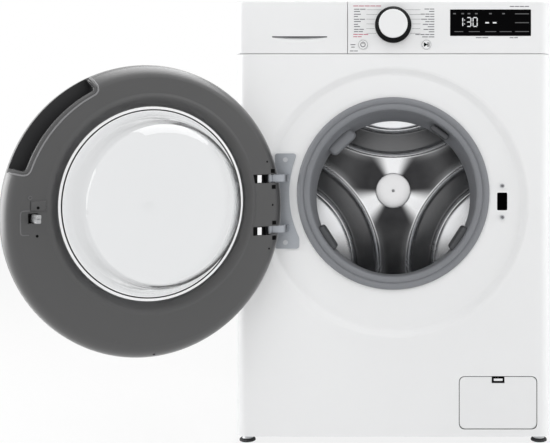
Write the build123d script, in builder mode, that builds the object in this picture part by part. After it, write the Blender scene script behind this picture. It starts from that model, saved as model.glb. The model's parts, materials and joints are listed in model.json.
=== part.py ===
"""Front load washing machine with its door open, as an assembly of separate pieces.

Frame: origin on the floor under the middle of the cabinet, +X to the user's right,
the front faces -Y, +Z up. All sizes are millimetres.
"""

import os
from math import cos, radians, sin, sqrt

from build123d import *

os.makedirs("parts", exist_ok=True)

# Overall size of the cabinet
WIDTH = 600.0
HEIGHT = 850.0
DEPTH = 565.0

# Walls and clearances
SHEET = 1.2
WALL = 2.5
SEAM = 1.2
SEAT = 0.3
RUN = 0.05

# Cabinet
BASE_Z = 18.0
CORNER_R = 20.0
RETURN_D = 22.0
FASCIA_H = 102.5
EDGE_R = 5.0
TOP_T = 24.0
TOP_WALL = 4.0
REAR_STEP = 14.0
FLANGE = 16.0
RAIL_H = 20.0
RAIL_D = 30.0
PAN_T = 3.0
PAN_H = 42.0

# Rear of the cabinet
REAR_OPEN_W = 390.0
REAR_OPEN_LOW = 140.0
REAR_OPEN_DROP = 130.0
REAR_LAP = 13.0
REAR_OPEN_R = 20.0
DOME_R = 150.0
DOME_SLOPE = 9.0
LOUVRE = (60.0, 5.0)
LOUVRE_PITCH = 14.0
LOUVRE_COUNT = 5
TRANSIT_PLACE = (150.0, 190.0)
TRANSIT_R = 11.0
TRANSIT_FLANGE = 4.0

# Feet
PAD_R = 15.5
PAD_H = 6.0
STUD_R = 6.0
COLLAR_H = 3.0
HEX_R = 9.5
NUT_H = 6.0
BOSS_R = 11.0
STUD_SHORT = 4.0
FOOT_IN_X = 17.0
FOOT_IN_Y = 36.0

# Screws
SCREW_HEAD_R = 4.5
SCREW_HEAD_H = 2.4
SCREW_R = 2.0
SCREW_L = 9.0
SCREW_HOLE = 0.2
DOOR_SCREW_ANGLES = (95.0, 135.0, 215.0, 250.0, 290.0, 330.0)

# Round recess in the front panel and the loading mouth
RECESS_R = 251.0
RECESS_Z = 465.0
RECESS_D = 8.0
RECESS_SLOPE = 12.0
RECESS_EDGE = 9.0
MOUTH_R = 176.0
MOUTH_Z = 481.5
MOUTH_FLANGE = 10.0

# Door
DOOR_OPEN = 143.3
DOOR_R = 250.0
DOOR_Z = 460.0
DOOR_RIM = 40.0
DOOR_FACE = 10.0
OUTER_T = 12.5
DOOR_SKIN = 3.0
RIM_FLAT = 22.0
RIM_TURN = (6.0, 9.0)
RIM_STRAIGHT = 2.0
OUTER_EDGE = (12.0, 9.0)
OUTER_BAND = 3.0
OUTER_SAG = (3.0, 2.25)
GLASS_Z = 473.0
GLASS_RING_R = 166.0
GLASS_RIDGE_R = 180.0
GLASS_RING_T = 20.0
GLASS_RING_W = 8.0
GLASS_T = 4.0
GLASS_LAP = 2.0
BOWL_DEEP = 58.0
BOWL_POINTS = ((16.0, 34.0), (27.0, 13.0), (57.0, 4.0))
WINDOW_R = 172.0
WINDOW_RISE = 3.0

# Door handle recess, as angles from the latch side upwards
HANDLE_FROM = 16.0
HANDLE_TO = 63.5
HANDLE_IN = 27.0
HANDLE_DEEP = 27.0
HANDLE_WALL = 2.5
HANDLE_END = 1.6
HANDLE_GAP = 0.1
HANDLE_CORNER = 14.0

# Door hinge
PIN_X = -231.3
PIN_R = 3.0
PIN_L = 30.0
ARM_Z = (512.0, 417.0)
ARM_H = 13.0
ARM_W = 8.0
ARM_ROOT_X = -203.0
ARM_OUT = 32.0
ARM_BEND = 12.0
EYE_R = 7.0
SLOT_GAP = 1.5
SLOT_REACH = 37.0
PLATE_T = 4.0
PLATE_X = (-226.0, -180.0)
PLATE_Z = (376.0, 558.0)
PLATE_BORE = 199.0
PLATE_CORNER = 5.0
HINGE_SCREWS = ((-206.0, 546.0), (-206.0, 388.0))

# Door latch
LATCH_X = 206.0
LATCH_Z = 466.0
HOOK_DROP = 9.0
LATCH_PIVOT = 26.0
LATCH_PIN_R = 3.0
LATCH_H = 13.0
LATCH_W = 6.0
LATCH_TIP = 20.0
LATCH_NIB = 3.5
LATCH_ROOM = 3.0
LOCK_HOLE = (19.5, 34.0)
LOCK_X = 208.8
LOCK_BODY = (46.0, 82.0, 42.0)
LOCK_SCREW = 30.0
LOCK_WALL = 5.0
LOCK_SHIFT = 4.0

# Drum and tub, along the axis from the front face
DRUM_Z = 469.0
DRUM_R = 243.0
DRUM_T = 1.0
DRUM_MOUTH_R = 163.0
DRUM_FRONT = 88.0
DRUM_BACK = 432.0
DRUM_SKIRT = 6.0
DRUM_TURNS = (90.0, 210.0, 330.0)
CHANNEL_AT = 350.0
CHANNEL_R = (213.0, 264.0)
CHANNEL_MARGIN = 11.0
CHANNEL_D = 8.0
HOLE_R = 2.5
HOLE_ROWS = 7
HOLE_COLUMNS = 15
LIFTER_L = 240.0
LIFTER_H = 45.0
LIFTER_W = 52.0
LIFTER_DRAFT = 12.0
LIFTER_EDGE = 4.0
HUB_R = 41.5
HUB_H = 13.0
SPIDER_T = 19.0
SPIDER_ARM = 40.0
SPIDER_HUB_R = 45.0
SHAFT_R = 15.0
SHAFT_REAR_R = 12.5
SHAFT_END_R = 10.0
BEARING_FRONT = (36.0, 16.0)
BEARING_REAR = (31.0, 15.0)
TUB_GAP = 23.0
TUB_T = 4.0
TUB_MOUTH_R = 172.0
TUB_FRONT = 80.0
TUB_SPLIT = 250.0
TUB_BACK = 462.0
TUB_BACK_T = 6.0
TUB_FLANGE = 10.0
TUB_FLANGE_T = 6.0
TUB_COLLAR = 14.0
TUB_HUB_R = 50.0
TUB_HUB_L = 38.0
WEIGHT_INNER_R = 198.0
WEIGHT_T = 36.0
WEIGHT_GAP = 112.0
STATOR_R = (60.0, 118.0)
STATOR_T = 26.0
STATOR_BASE = 4.0
STATOR_SLOTS = 36
STATOR_SLOT = (32.0, 5.0)
ROTOR_GAP = 1.0
ROTOR_T = 6.0
ROTOR_PLATE = 2.5
ROTOR_HUB_R = 24.0
ROTOR_HUB_L = 15.0
HEATER_R = 4.0
HEATER_X = 25.0
HEATER_FROM = 190.0
HEATER_PLATE = (80.0, 22.0, 4.0)

# Gasket between the front panel and the tub
GASKET_R = 184.5
GASKET_LIP_R = 156.0
GASKET_T = 3.0
GASKET_BELLY = 186.0
BEAD_H = 6.0
BEAD_W = 10.0
GROOVE = 2.0
NOZZLE_ANGLES = (54.0, 138.0, 211.0, 328.5)
NOZZLE_R = 6.0
NOZZLE_AT = 36.0
NOZZLE_BLOCK = (24.0, 14.0, 9.0)
NOZZLE_REACH = (150.0, 186.0)
CLAMP_T = 1.5
CLAMP_W = 8.0

# Suspension
BOUNCE = 6.0
SPRING_IN = 50.0
SPRING_AT = 330.0
SPRING_R = (10.5, 13.5)
SPRING_LUG_Z = 600.0
SPRING_DROP = 26.0
LUG_T = 12.0
DAMPER_X = 150.0
DAMPER_AT = 300.0
DAMPER_R = 13.0
DAMPER_ROD_R = 6.0
DAMPER_TOP = 150.0
DAMPER_FOOT = (18.0, 6.0)
DAMPER_HEAD = (14.0, 4.0)
DAMPER_LUG_Z = 226.0

# Detergent drawer and dispenser
DRAWER_SPLIT = -87.6
DRAWER_T = 16.0
DRAWER_SKIN = 3.0
GRIP_X = (-231.0, -126.0)
GRIP_FROM_TOP = 69.0
GRIP_D = 12.0
GRIP_H = 20.0
GRIP_LIP = 4.0
GRIP_UP = 9.0
TRAY_IN = (23.0, 13.5)
TRAY_FROM_TOP = (93.0, 38.0)
TRAY_L = 235.0
TRAY_T = 2.0
HOUSING_T = 2.0
HOUSING_SIDE = 2.0
FILL_X = -190.0
FILL_AT = 205.0
SPIGOT_R = 17.0
SPIGOT_T = 3.0
FILL_DROP = 20.0
FILL_RISE = 36.0
HOSE_T = 3.0
HOSE_LAP = 10.0
DUCT = (34.0, 16.0)

# Inlet valve and mains gland at the rear
VALVE_X = -190.0
VALVE_FROM_TOP = 60.0
THREAD_R = 13.2
THREAD_BORE = 8.0
VALVE_BODY = (50.0, 44.0, 40.0)
GLAND_IN = 65.0
GLAND_FROM_TOP = 65.0
GLAND_R = (4.0, 8.0, 12.0)

# Control panel
KNOB_FROM_TOP = 46.5
KNOB_R = (34.8, 28.4)
KNOB_H = 20.0
KNOB_LIFT = 0.6
CAP_R = 27.2
CAP_H = 4.0
STEM_R = 3.0
POWER_X = -57.6
START_X = 63.5
BUTTONS_FROM_TOP = 84.5
BUTTON_R = 9.4
BUTTON_PROUD = 1.5
BUTTON_TRAVEL = 1.5
DISPLAY_IN = (191.6, 37.0)
DISPLAY_FROM_TOP = (68.0, 17.2)
DISPLAY_R = 1.5
DISPLAY_FLANGE = 2.0
BOARD_AT = 13.0
BOARD_T = 1.6
BOARD_LEFT = -80.0
BOARD_IN = 24.0
BOARD_FROM_TOP = (95.0, 8.0)
POST_R = 4.0
ENCODER = 14.0
SWITCH = 6.0
MAIN_BOX = (150.0, 130.0, 45.0)
MAIN_BOX_AT = 120.0

# Filter flap, drain filter and pump
FLAP_W = 147.0
FLAP_H = 99.0
FLAP_IN = 100.0
FLAP_Z = 82.5
FLAP_R = 11.0
FLAP_T = 2.5
FLAP_PIN_R = 2.0
FLAP_AXIS = 5.0
FLAP_AXIS_UP = 13.0
EAR_W = 5.0
EAR_L = 8.0
CATCH = (24.0, 12.0)
PUMP_R = 40.0
PUMP_BORE = 34.0
PUMP_FROM = 26.0
PUMP_L = 105.0
PUMP_MOTOR = (30.0, 55.0)
PUMP_FOOT_W = 64.0
FILTER_L = 78.0
FILTER_CAP = 12.0
FILTER_GRIP = (42.0, 10.0, 9.0)
BASKET_R = 27.0
BASKET_T = 2.0
INLET_AT = 70.0
SUMP_X = 60.0
SUMP_AT = 300.0
SUMP_DROP = 24.0
SUMP_BEND = 40.0
PIPE_IN = 65.0
PIPE_Z = 165.0
PIPE_R = 10.0
PIPE_T = 2.0
PIPE_AT = 84.0
PIPE_BEND = 24.0

# Places worked out from the sizes above
FRONT = -DEPTH / 2
REAR = DEPTH / 2
SHELL_FRONT = FRONT + RETURN_D + SEAT
SHELL_REAR = REAR - REAR_STEP
SEAM_Z = HEIGHT - FASCIA_H
FASCIA_Z = SEAM_Z + SEAM
FRAME_TOP = HEIGHT - TOP_T
INNER_X = WIDTH / 2 - SHEET
PAN_TOP = BASE_Z + PAN_H
PAN_FLOOR = BASE_Z + PAN_T
FOOT_X = WIDTH / 2 - FOOT_IN_X
FOOT_Y = DEPTH / 2 - FOOT_IN_Y
RECESS_FLOOR = RECESS_D + SHEET
PIN_Y = FRONT - DOOR_RIM
DOOR_FRONT = DOOR_RIM + OUTER_T
CHANNEL_EDGE_R = DRUM_R - CHANNEL_MARGIN
TUB_R = DRUM_R + TUB_GAP
WEIGHT_R = (WEIGHT_INNER_R, (WEIGHT_INNER_R + TUB_R) / 2)
TUB_OUT = TUB_R + TUB_T
COLLAR_R = TUB_MOUTH_R + TUB_T
CUFF_R = COLLAR_R + SEAT
DAMPER_Y = FRONT + DAMPER_AT
SPRING_X = WIDTH / 2 - SPRING_IN
SPRING_Y = FRONT + SPRING_AT
FILL_Y = FRONT + FILL_AT
SUMP_Y = FRONT + SUMP_AT
TRAY_X = (-WIDTH / 2 + TRAY_IN[0], DRAWER_SPLIT - TRAY_IN[1])
TRAY_WIDE = TRAY_X[1] - TRAY_X[0]
TRAY_Z = (HEIGHT - TRAY_FROM_TOP[0], HEIGHT - TRAY_FROM_TOP[1])
GRIP_Z = HEIGHT - GRIP_FROM_TOP
VALVE_Z = HEIGHT - VALVE_FROM_TOP
GLAND_X = WIDTH / 2 - GLAND_IN
GLAND_Z = HEIGHT - GLAND_FROM_TOP
KNOB_Z = HEIGHT - KNOB_FROM_TOP
POWER_PLACE = (POWER_X, HEIGHT - BUTTONS_FROM_TOP)
START_PLACE = (START_X, HEIGHT - BUTTONS_FROM_TOP)
DISPLAY_X = (WIDTH / 2 - DISPLAY_IN[0], WIDTH / 2 - DISPLAY_IN[1])
DISPLAY_Z = (HEIGHT - DISPLAY_FROM_TOP[0], HEIGHT - DISPLAY_FROM_TOP[1])
BOARD_X = (BOARD_LEFT, WIDTH / 2 - BOARD_IN)
BOARD_Z = (HEIGHT - BOARD_FROM_TOP[0], HEIGHT - BOARD_FROM_TOP[1])
PIPE_X = WIDTH / 2 - PIPE_IN
FLAP_X = WIDTH / 2 - FLAP_IN
HOOK_Z = LATCH_Z - HOOK_DROP
FLAP_BOTTOM = FLAP_Z - FLAP_H / 2
FLAP_TOP = FLAP_Z + FLAP_H / 2
REAR_OPEN_Z = (REAR_OPEN_LOW, HEIGHT - REAR_OPEN_DROP)
REAR_MID_Z = (REAR_OPEN_Z[0] + REAR_OPEN_Z[1]) / 2
REAR_OPEN_H = REAR_OPEN_Z[1] - REAR_OPEN_Z[0]


def level(z):
    """Flat plane at a height: x right, y to the rear."""
    return Plane.XY.offset(z)


def facing(y):
    """Upright plane at a depth, seen from the front: x right, y up."""
    return Plane.XZ.offset(-y)


def lathe(z, angle=0.0):
    """Turning plane at an axis height: x is the radius, y the depth behind the front face."""
    turn = radians(angle)
    return Plane((0, FRONT, z), x_dir=(cos(turn), 0, sin(turn)), z_dir=(-sin(turn), 0, cos(turn)))


def lathe_axis(plane):
    """Axis of a turning plane, so that a partial turn goes up from the right hand side."""
    return Axis(plane.origin, plane.y_dir * -1)


SWING = Location((PIN_X, PIN_Y, 0), (0, 0, -DOOR_OPEN)) * Location((-PIN_X, -PIN_Y, 0))


def swung(plane):
    """A plane of the shut door, carried to where the open door rests."""
    return Plane(SWING * plane.location)


def save(piece, name):
    """Label a finished piece and write its file."""
    piece.part.label = name
    export_step(piece.part, f"parts/{name}.step")


def block(x, y, z, mode=Mode.ADD):
    """A straight box between two values on each axis."""
    middle = ((x[0] + x[1]) / 2, (y[0] + y[1]) / 2, (z[0] + z[1]) / 2)
    with Locations(middle):
        Box(x[1] - x[0], y[1] - y[0], z[1] - z[0], mode=mode)


foot_places = [(x, y) for x in (-FOOT_X, FOOT_X) for y in (-FOOT_Y, FOOT_Y)]
transit_places = [(x, DRUM_Z + z) for x in (-TRANSIT_PLACE[0], TRANSIT_PLACE[0])
                  for z in (-TRANSIT_PLACE[1], TRANSIT_PLACE[1])]
rear_screw_x = (REAR_OPEN_W + REAR_LAP) / 2
rear_screws = [(x, z) for x in (-rear_screw_x, rear_screw_x)
               for z in (REAR_OPEN_Z[0], REAR_MID_Z, REAR_OPEN_Z[1])]
lock_screws = [(LOCK_X, LATCH_Z - LOCK_SCREW), (LOCK_X, LATCH_Z + LOCK_SCREW)]

# Base pan with a threaded boss for each foot
with BuildPart() as base_pan:
    block((-INNER_X + SEAT, INNER_X - SEAT), (SHELL_FRONT, SHELL_REAR - SHEET - SEAT), (BASE_Z, PAN_TOP))
    fillet(base_pan.edges().filter_by(Axis.Z), PAN_T)
    block(
        (-INNER_X + SEAT + PAN_T, INNER_X - SEAT - PAN_T),
        (SHELL_FRONT + PAN_T, SHELL_REAR - SHEET - SEAT - PAN_T),
        (PAN_FLOOR, PAN_TOP),
        mode=Mode.SUBTRACT,
    )
    with BuildSketch(level(BASE_Z)):
        with Locations(*foot_places):
            Circle(BOSS_R)
    extrude(amount=PAN_H)
    with BuildSketch(level(BASE_Z)):
        with Locations(*foot_places):
            Circle(STUD_R + RUN)
    extrude(amount=PAN_H, mode=Mode.SUBTRACT)
save(base_pan, "base_pan")

# Four feet, each a pad and hexagon on a threaded stud
for side_x, side_name in ((-FOOT_X, "left"), (FOOT_X, "right")):
    for side_y, end_name in ((-FOOT_Y, "front"), (FOOT_Y, "rear")):
        with BuildPart() as foot:
            with Locations((side_x, side_y, 0)):
                Cylinder(PAD_R, PAD_H, align=(Align.CENTER, Align.CENTER, Align.MIN))
            fillet(foot.edges().group_by(Axis.Z)[-1], PAD_H / 3)
            with BuildSketch(level(PAD_H)):
                with Locations((side_x, side_y)):
                    RegularPolygon(HEX_R, 6)
            extrude(amount=COLLAR_H)
            with BuildSketch(level(PAD_H + COLLAR_H)):
                with Locations((side_x, side_y)):
                    Circle(STUD_R)
            extrude(amount=PAN_TOP - STUD_SHORT - PAD_H - COLLAR_H)
        save(foot, f"foot_{end_name}_{side_name}")

# Lock nuts under the base
with BuildPart() as foot_nuts:
    with BuildSketch(level(BASE_Z - NUT_H)):
        with Locations(*foot_places):
            RegularPolygon(HEX_R, 6)
        with Locations(*foot_places):
            Circle(STUD_R + RUN, mode=Mode.SUBTRACT)
    extrude(amount=NUT_H)
save(foot_nuts, "foot_nuts")

# Cabinet shell: two side sheets with flanges and spring brackets, a front rail and the rear frame
spring_hang = FRAME_TOP - SPRING_DROP
flange_x = WIDTH / 2 - FLANGE
rail_x = flange_x - SEAT
rail_z = SEAM_Z - RAIL_H
sheet_x = INNER_X - SEAT
with BuildPart() as cabinet_shell:
    for hand in (-1, 1):
        side = sorted((hand * INNER_X, hand * WIDTH / 2))
        edge = sorted((hand * INNER_X, hand * flange_x))
        arm = sorted((hand * INNER_X, hand * (SPRING_X - SPRING_R[1])))
        reach = (SPRING_Y - SPRING_R[1], SPRING_Y + SPRING_R[1])
        block(side, (SHELL_FRONT, SHELL_REAR), (BASE_Z, FRAME_TOP))
        block(edge, (SHELL_FRONT, SHELL_FRONT + SHEET), (PAN_TOP + SEAM, FRAME_TOP))
        block(edge, (SHELL_FRONT, SHELL_REAR - SHEET - SEAT), (FRAME_TOP - SHEET, FRAME_TOP))
        block(arm, reach, (spring_hang, spring_hang + 2 * SHEET))
    block((-rail_x, rail_x), (SHELL_FRONT, SHELL_FRONT + SHEET), (rail_z, SEAM_Z))
    block((-rail_x, rail_x), (SHELL_FRONT, SHELL_FRONT + RAIL_D), (rail_z, rail_z + SHEET))
    block((-sheet_x, sheet_x), (SHELL_REAR - SHEET, SHELL_REAR), (BASE_Z, FRAME_TOP))
    with BuildSketch(facing(SHELL_REAR)):
        with Locations((0, REAR_MID_Z)):
            RectangleRounded(REAR_OPEN_W, REAR_OPEN_H, REAR_OPEN_R)
        with Locations((VALVE_X, VALVE_Z)):
            Circle(THREAD_R + SEAT)
        with Locations((GLAND_X, GLAND_Z)):
            Circle(GLAND_R[1] + SEAT)
        with Locations((PIPE_X, PIPE_Z)):
            Circle(PIPE_R + SEAT)
        with Locations(*rear_screws):
            Circle(SCREW_R + SCREW_HOLE)
    extrude(amount=SHEET, mode=Mode.SUBTRACT)
save(cabinet_shell, "cabinet_shell")

# Rear panel with a dome over the motor, louvres and transit bolt holes
with BuildPart() as rear_panel:
    with BuildSketch(facing(SHELL_REAR + SHEET)):
        with Locations((0, REAR_MID_Z)):
            RectangleRounded(REAR_OPEN_W + 2 * REAR_LAP, REAR_OPEN_H + 2 * REAR_LAP, REAR_OPEN_R)
        with Locations((0, DRUM_Z)):
            Circle(DOME_R, mode=Mode.SUBTRACT)
        with Locations(*transit_places):
            Circle(TRANSIT_R + SEAT, mode=Mode.SUBTRACT)
        with Locations(*rear_screws):
            Circle(SCREW_R + SCREW_HOLE, mode=Mode.SUBTRACT)
        with Locations((0, REAR_OPEN_Z[0] + LOUVRE_PITCH * LOUVRE_COUNT)):
            with GridLocations(LOUVRE[0] * 1.5, LOUVRE_PITCH, 3, LOUVRE_COUNT):
                SlotOverall(LOUVRE[0], LOUVRE[1], mode=Mode.SUBTRACT)
    extrude(amount=SHEET)
    panel_at = SHELL_REAR - FRONT
    dome_at = panel_at + REAR_STEP - SHEET
    with BuildSketch(lathe(DRUM_Z)):
        with BuildLine():
            Polyline(
                (0, dome_at),
                (DOME_R - DOME_SLOPE, dome_at),
                (DOME_R, panel_at + SHEET),
                (DOME_R, panel_at),
                (DOME_R - SHEET, panel_at),
                (DOME_R - DOME_SLOPE - SHEET, dome_at - SHEET),
                (0, dome_at - SHEET),
                close=True,
            )
        make_face()
    revolve(axis=lathe_axis(lathe(DRUM_Z)))
save(rear_panel, "rear_panel")

# Caps in the transit bolt holes
with BuildPart() as transit_bolt_caps:
    with BuildSketch(facing(SHELL_REAR + SHEET)):
        with Locations(*transit_places):
            Circle(TRANSIT_R + TRANSIT_FLANGE)
    extrude(amount=-WALL)
    fillet(transit_bolt_caps.edges().group_by(Axis.Y)[-1], WALL / 2)
    with BuildSketch(facing(SHELL_REAR + SHEET)):
        with Locations(*transit_places):
            Circle(TRANSIT_R)
    extrude(amount=TRANSIT_R)
    with BuildSketch(facing(SHELL_REAR)):
        with Locations(*transit_places):
            Circle(TRANSIT_R - WALL)
    extrude(amount=TRANSIT_R, mode=Mode.SUBTRACT)
save(transit_bolt_caps, "transit_bolt_caps")

# Top cover, hollow underneath
with BuildPart() as top_cover:
    block((-WIDTH / 2, WIDTH / 2), (SHELL_FRONT, SHELL_REAR + REAR_STEP / 2), (FRAME_TOP, HEIGHT))
    fillet(top_cover.edges().group_by(Axis.Z)[-1], EDGE_R)
    block(
        (-WIDTH / 2 + TOP_WALL, WIDTH / 2 - TOP_WALL),
        (SHELL_FRONT + TOP_WALL, SHELL_REAR + REAR_STEP / 2 - TOP_WALL),
        (FRAME_TOP, HEIGHT - TOP_WALL),
        mode=Mode.SUBTRACT,
    )
save(top_cover, "top_cover")

# Front panel: wrapped sheet with the round recess, mouth, lock slot and flap opening
ear_x = (FLAP_W / 2 + SEAM, FLAP_W / 2 + SEAM + EAR_W)
flap_axis_z = FLAP_BOTTOM + FLAP_AXIS_UP
with BuildPart() as front_panel:
    with BuildSketch(level(BASE_Z)) as panel_plan:
        with Locations((0, FRONT)):
            Rectangle(WIDTH, RETURN_D, align=(Align.CENTER, Align.MIN))
        fillet(panel_plan.vertices().group_by(Axis.Y)[0], CORNER_R)
    extrude(amount=SEAM_Z - BASE_Z)
    with BuildSketch(level(BASE_Z + SHEET)) as panel_inside:
        with Locations((0, FRONT + SHEET)):
            Rectangle(WIDTH - 2 * SHEET, RETURN_D, align=(Align.CENTER, Align.MIN))
        fillet(panel_inside.vertices().group_by(Axis.Y)[0], CORNER_R - SHEET)
    extrude(amount=SEAM_Z - BASE_Z - 2 * SHEET, mode=Mode.SUBTRACT)
    recess_out = RECESS_R + RECESS_SLOPE / 2
    recess_in = RECESS_R - RECESS_SLOPE / 2
    with BuildSketch(facing(FRONT)):
        with Locations((0, RECESS_Z)):
            Circle(recess_out + RECESS_EDGE)
    extrude(amount=-SHEET, mode=Mode.SUBTRACT)
    with BuildSketch(lathe(RECESS_Z)) as recess_profile:
        with BuildLine():
            Polyline(
                (recess_out + RECESS_EDGE, 0),
                (recess_out, 0),
                (recess_in, RECESS_D),
                (0, RECESS_D),
                (0, RECESS_FLOOR),
                (recess_in, RECESS_FLOOR),
                (recess_out, SHEET),
                (recess_out + RECESS_EDGE, SHEET),
                close=True,
            )
        make_face()
        soft = [v for v in recess_profile.vertices() if recess_in - 1 < v.X < recess_out + 1]
        fillet(soft, RECESS_EDGE)
    revolve(axis=lathe_axis(lathe(RECESS_Z)))
    block((-WIDTH / 2, WIDTH / 2), (FRONT, FRONT + RECESS_FLOOR), (SEAM_Z, HEIGHT), mode=Mode.SUBTRACT)
    with BuildSketch(facing(FRONT + RECESS_D)):
        with Locations((0, MOUTH_Z)):
            Circle(MOUTH_R + SHEET)
    extrude(amount=-MOUTH_FLANGE)
    with BuildSketch(facing(FRONT)):
        with Locations((0, MOUTH_Z)):
            Circle(MOUTH_R)
        with Locations((LOCK_X, LATCH_Z)):
            RectangleRounded(LOCK_HOLE[0], LOCK_HOLE[1], 2 * SHEET)
        with Locations(*lock_screws, *HINGE_SCREWS):
            Circle(SCREW_R + SCREW_HOLE)
        with Locations((FLAP_X, FLAP_Z)):
            RectangleRounded(FLAP_W + 2 * SEAM, FLAP_H + 2 * SEAM, FLAP_R + SEAM)
    extrude(amount=-RECESS_D - MOUTH_FLANGE, mode=Mode.SUBTRACT)
    ear_z = (flap_axis_z - EAR_L / 2, flap_axis_z + EAR_L / 2)
    for hand in (-1, 1):
        ear = sorted((FLAP_X + hand * ear_x[0], FLAP_X + hand * ear_x[1]))
        block(ear, (FRONT + SHEET, FRONT + FLAP_AXIS + EAR_L / 2), ear_z)
    with BuildSketch(Plane.YZ.offset(FLAP_X - ear_x[1])):
        with Locations((FRONT + FLAP_AXIS, flap_axis_z)):
            Circle(FLAP_PIN_R + RUN)
    extrude(amount=2 * ear_x[1], mode=Mode.SUBTRACT)
save(front_panel, "front_panel")

# Filter flap on two pins along its lower edge
with BuildPart() as filter_flap:
    with BuildSketch(facing(FRONT)):
        with Locations((FLAP_X, FLAP_Z)):
            RectangleRounded(FLAP_W, FLAP_H, FLAP_R)
        with Locations((FLAP_X, FLAP_TOP)):
            Rectangle(CATCH[0], CATCH[1], align=(Align.CENTER, Align.MAX), mode=Mode.SUBTRACT)
    extrude(amount=-FLAP_T)
    fillet(filter_flap.edges().group_by(Axis.Y)[0], SEAM / 2)
    tongue = CATCH[0] / 2 - FLAP_T
    block(
        (FLAP_X - tongue, FLAP_X + tongue),
        (FRONT + FLAP_T / 2, FRONT + FLAP_T),
        (FLAP_TOP - CATCH[1], FLAP_TOP - FLAP_T),
    )
    pin_end = FLAP_W / 2 + SEAM + EAR_W
    pin_root = FLAP_W / 2 - FLAP_R
    for hand in (-1, 1):
        root = sorted((FLAP_X + hand * pin_root, FLAP_X + hand * (FLAP_W / 2 - SEAM)))
        block(root, (FRONT + FLAP_T, FRONT + FLAP_AXIS + FLAP_PIN_R), ear_z)
        with BuildSketch(Plane.YZ.offset(FLAP_X + hand * pin_root)):
            with Locations((FRONT + FLAP_AXIS, flap_axis_z)):
                Circle(FLAP_PIN_R)
        extrude(amount=hand * (pin_end - pin_root))
save(filter_flap, "filter_flap")

# Control panel: fascia, posts for the board and the frame round the drawer mouth
mouth_x = (TRAY_X[0] - HOUSING_SIDE, TRAY_X[1] + HOUSING_SIDE)
mouth_z = (TRAY_Z[0] - HOUSING_SIDE, TRAY_Z[1] + HOUSING_SIDE)
board_posts = [(x, z) for x in (BOARD_X[0] + POST_R, BOARD_X[1] - POST_R)
               for z in (BOARD_Z[0] + POST_R, BOARD_Z[1] - POST_R)]
display_mid = ((DISPLAY_X[0] + DISPLAY_X[1]) / 2, (DISPLAY_Z[0] + DISPLAY_Z[1]) / 2)
display_w = DISPLAY_X[1] - DISPLAY_X[0]
display_h = DISPLAY_Z[1] - DISPLAY_Z[0]
with BuildPart() as control_panel:
    fascia_from = DRAWER_SPLIT + SEAM
    with BuildSketch(level(FASCIA_Z)) as fascia_plan:
        with Locations((fascia_from, FRONT)):
            Rectangle(WIDTH / 2 - fascia_from, RETURN_D, align=(Align.MIN, Align.MIN))
        fillet(fascia_plan.vertices().group_by(Axis.Y)[0].sort_by(Axis.X)[-1], CORNER_R)
    extrude(amount=HEIGHT - FASCIA_Z)
    fillet(control_panel.edges().group_by(Axis.Z)[-1].sort_by(Axis.Y)[0], EDGE_R)
    with BuildSketch(level(FASCIA_Z + WALL)) as fascia_inside:
        with Locations((fascia_from + WALL, FRONT + WALL)):
            Rectangle(WIDTH / 2 - fascia_from - 2 * WALL, RETURN_D, align=(Align.MIN, Align.MIN))
        fillet(fascia_inside.vertices().group_by(Axis.Y)[0].sort_by(Axis.X)[-1], CORNER_R - WALL)
    extrude(amount=HEIGHT - FASCIA_Z - 2 * WALL, mode=Mode.SUBTRACT)
    block(
        (-WIDTH / 2 + WALL, fascia_from + WALL),
        (FRONT + DRAWER_T + SEAM, FRONT + RETURN_D),
        (FASCIA_Z, HEIGHT - WALL),
    )
    block(mouth_x, (FRONT, FRONT + RETURN_D), mouth_z, mode=Mode.SUBTRACT)
    with BuildSketch(facing(FRONT + WALL)):
        with Locations(*board_posts):
            Circle(POST_R)
    extrude(amount=WALL - BOARD_AT)
    with BuildSketch(facing(FRONT)):
        with Locations(display_mid):
            RectangleRounded(display_w, display_h, DISPLAY_R)
        with Locations((0, KNOB_Z)):
            Circle(STEM_R + SEAT)
        with Locations(POWER_PLACE, START_PLACE):
            Circle(BUTTON_R + SEAT)
    extrude(amount=-WALL, mode=Mode.SUBTRACT)
save(control_panel, "control_panel")

# Display window, flush in the fascia with a flange behind
with BuildPart() as display_window:
    with BuildSketch(facing(FRONT)):
        with Locations(display_mid):
            RectangleRounded(display_w - 2 * SEAT, display_h - 2 * SEAT, DISPLAY_R)
    extrude(amount=-WALL)
    with BuildSketch(facing(FRONT + WALL)):
        with Locations(display_mid):
            RectangleRounded(display_w + 2 * DISPLAY_FLANGE, display_h + 2 * DISPLAY_FLANGE, DISPLAY_R)
    extrude(amount=-SHEET)
save(display_window, "display_window")

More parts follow.
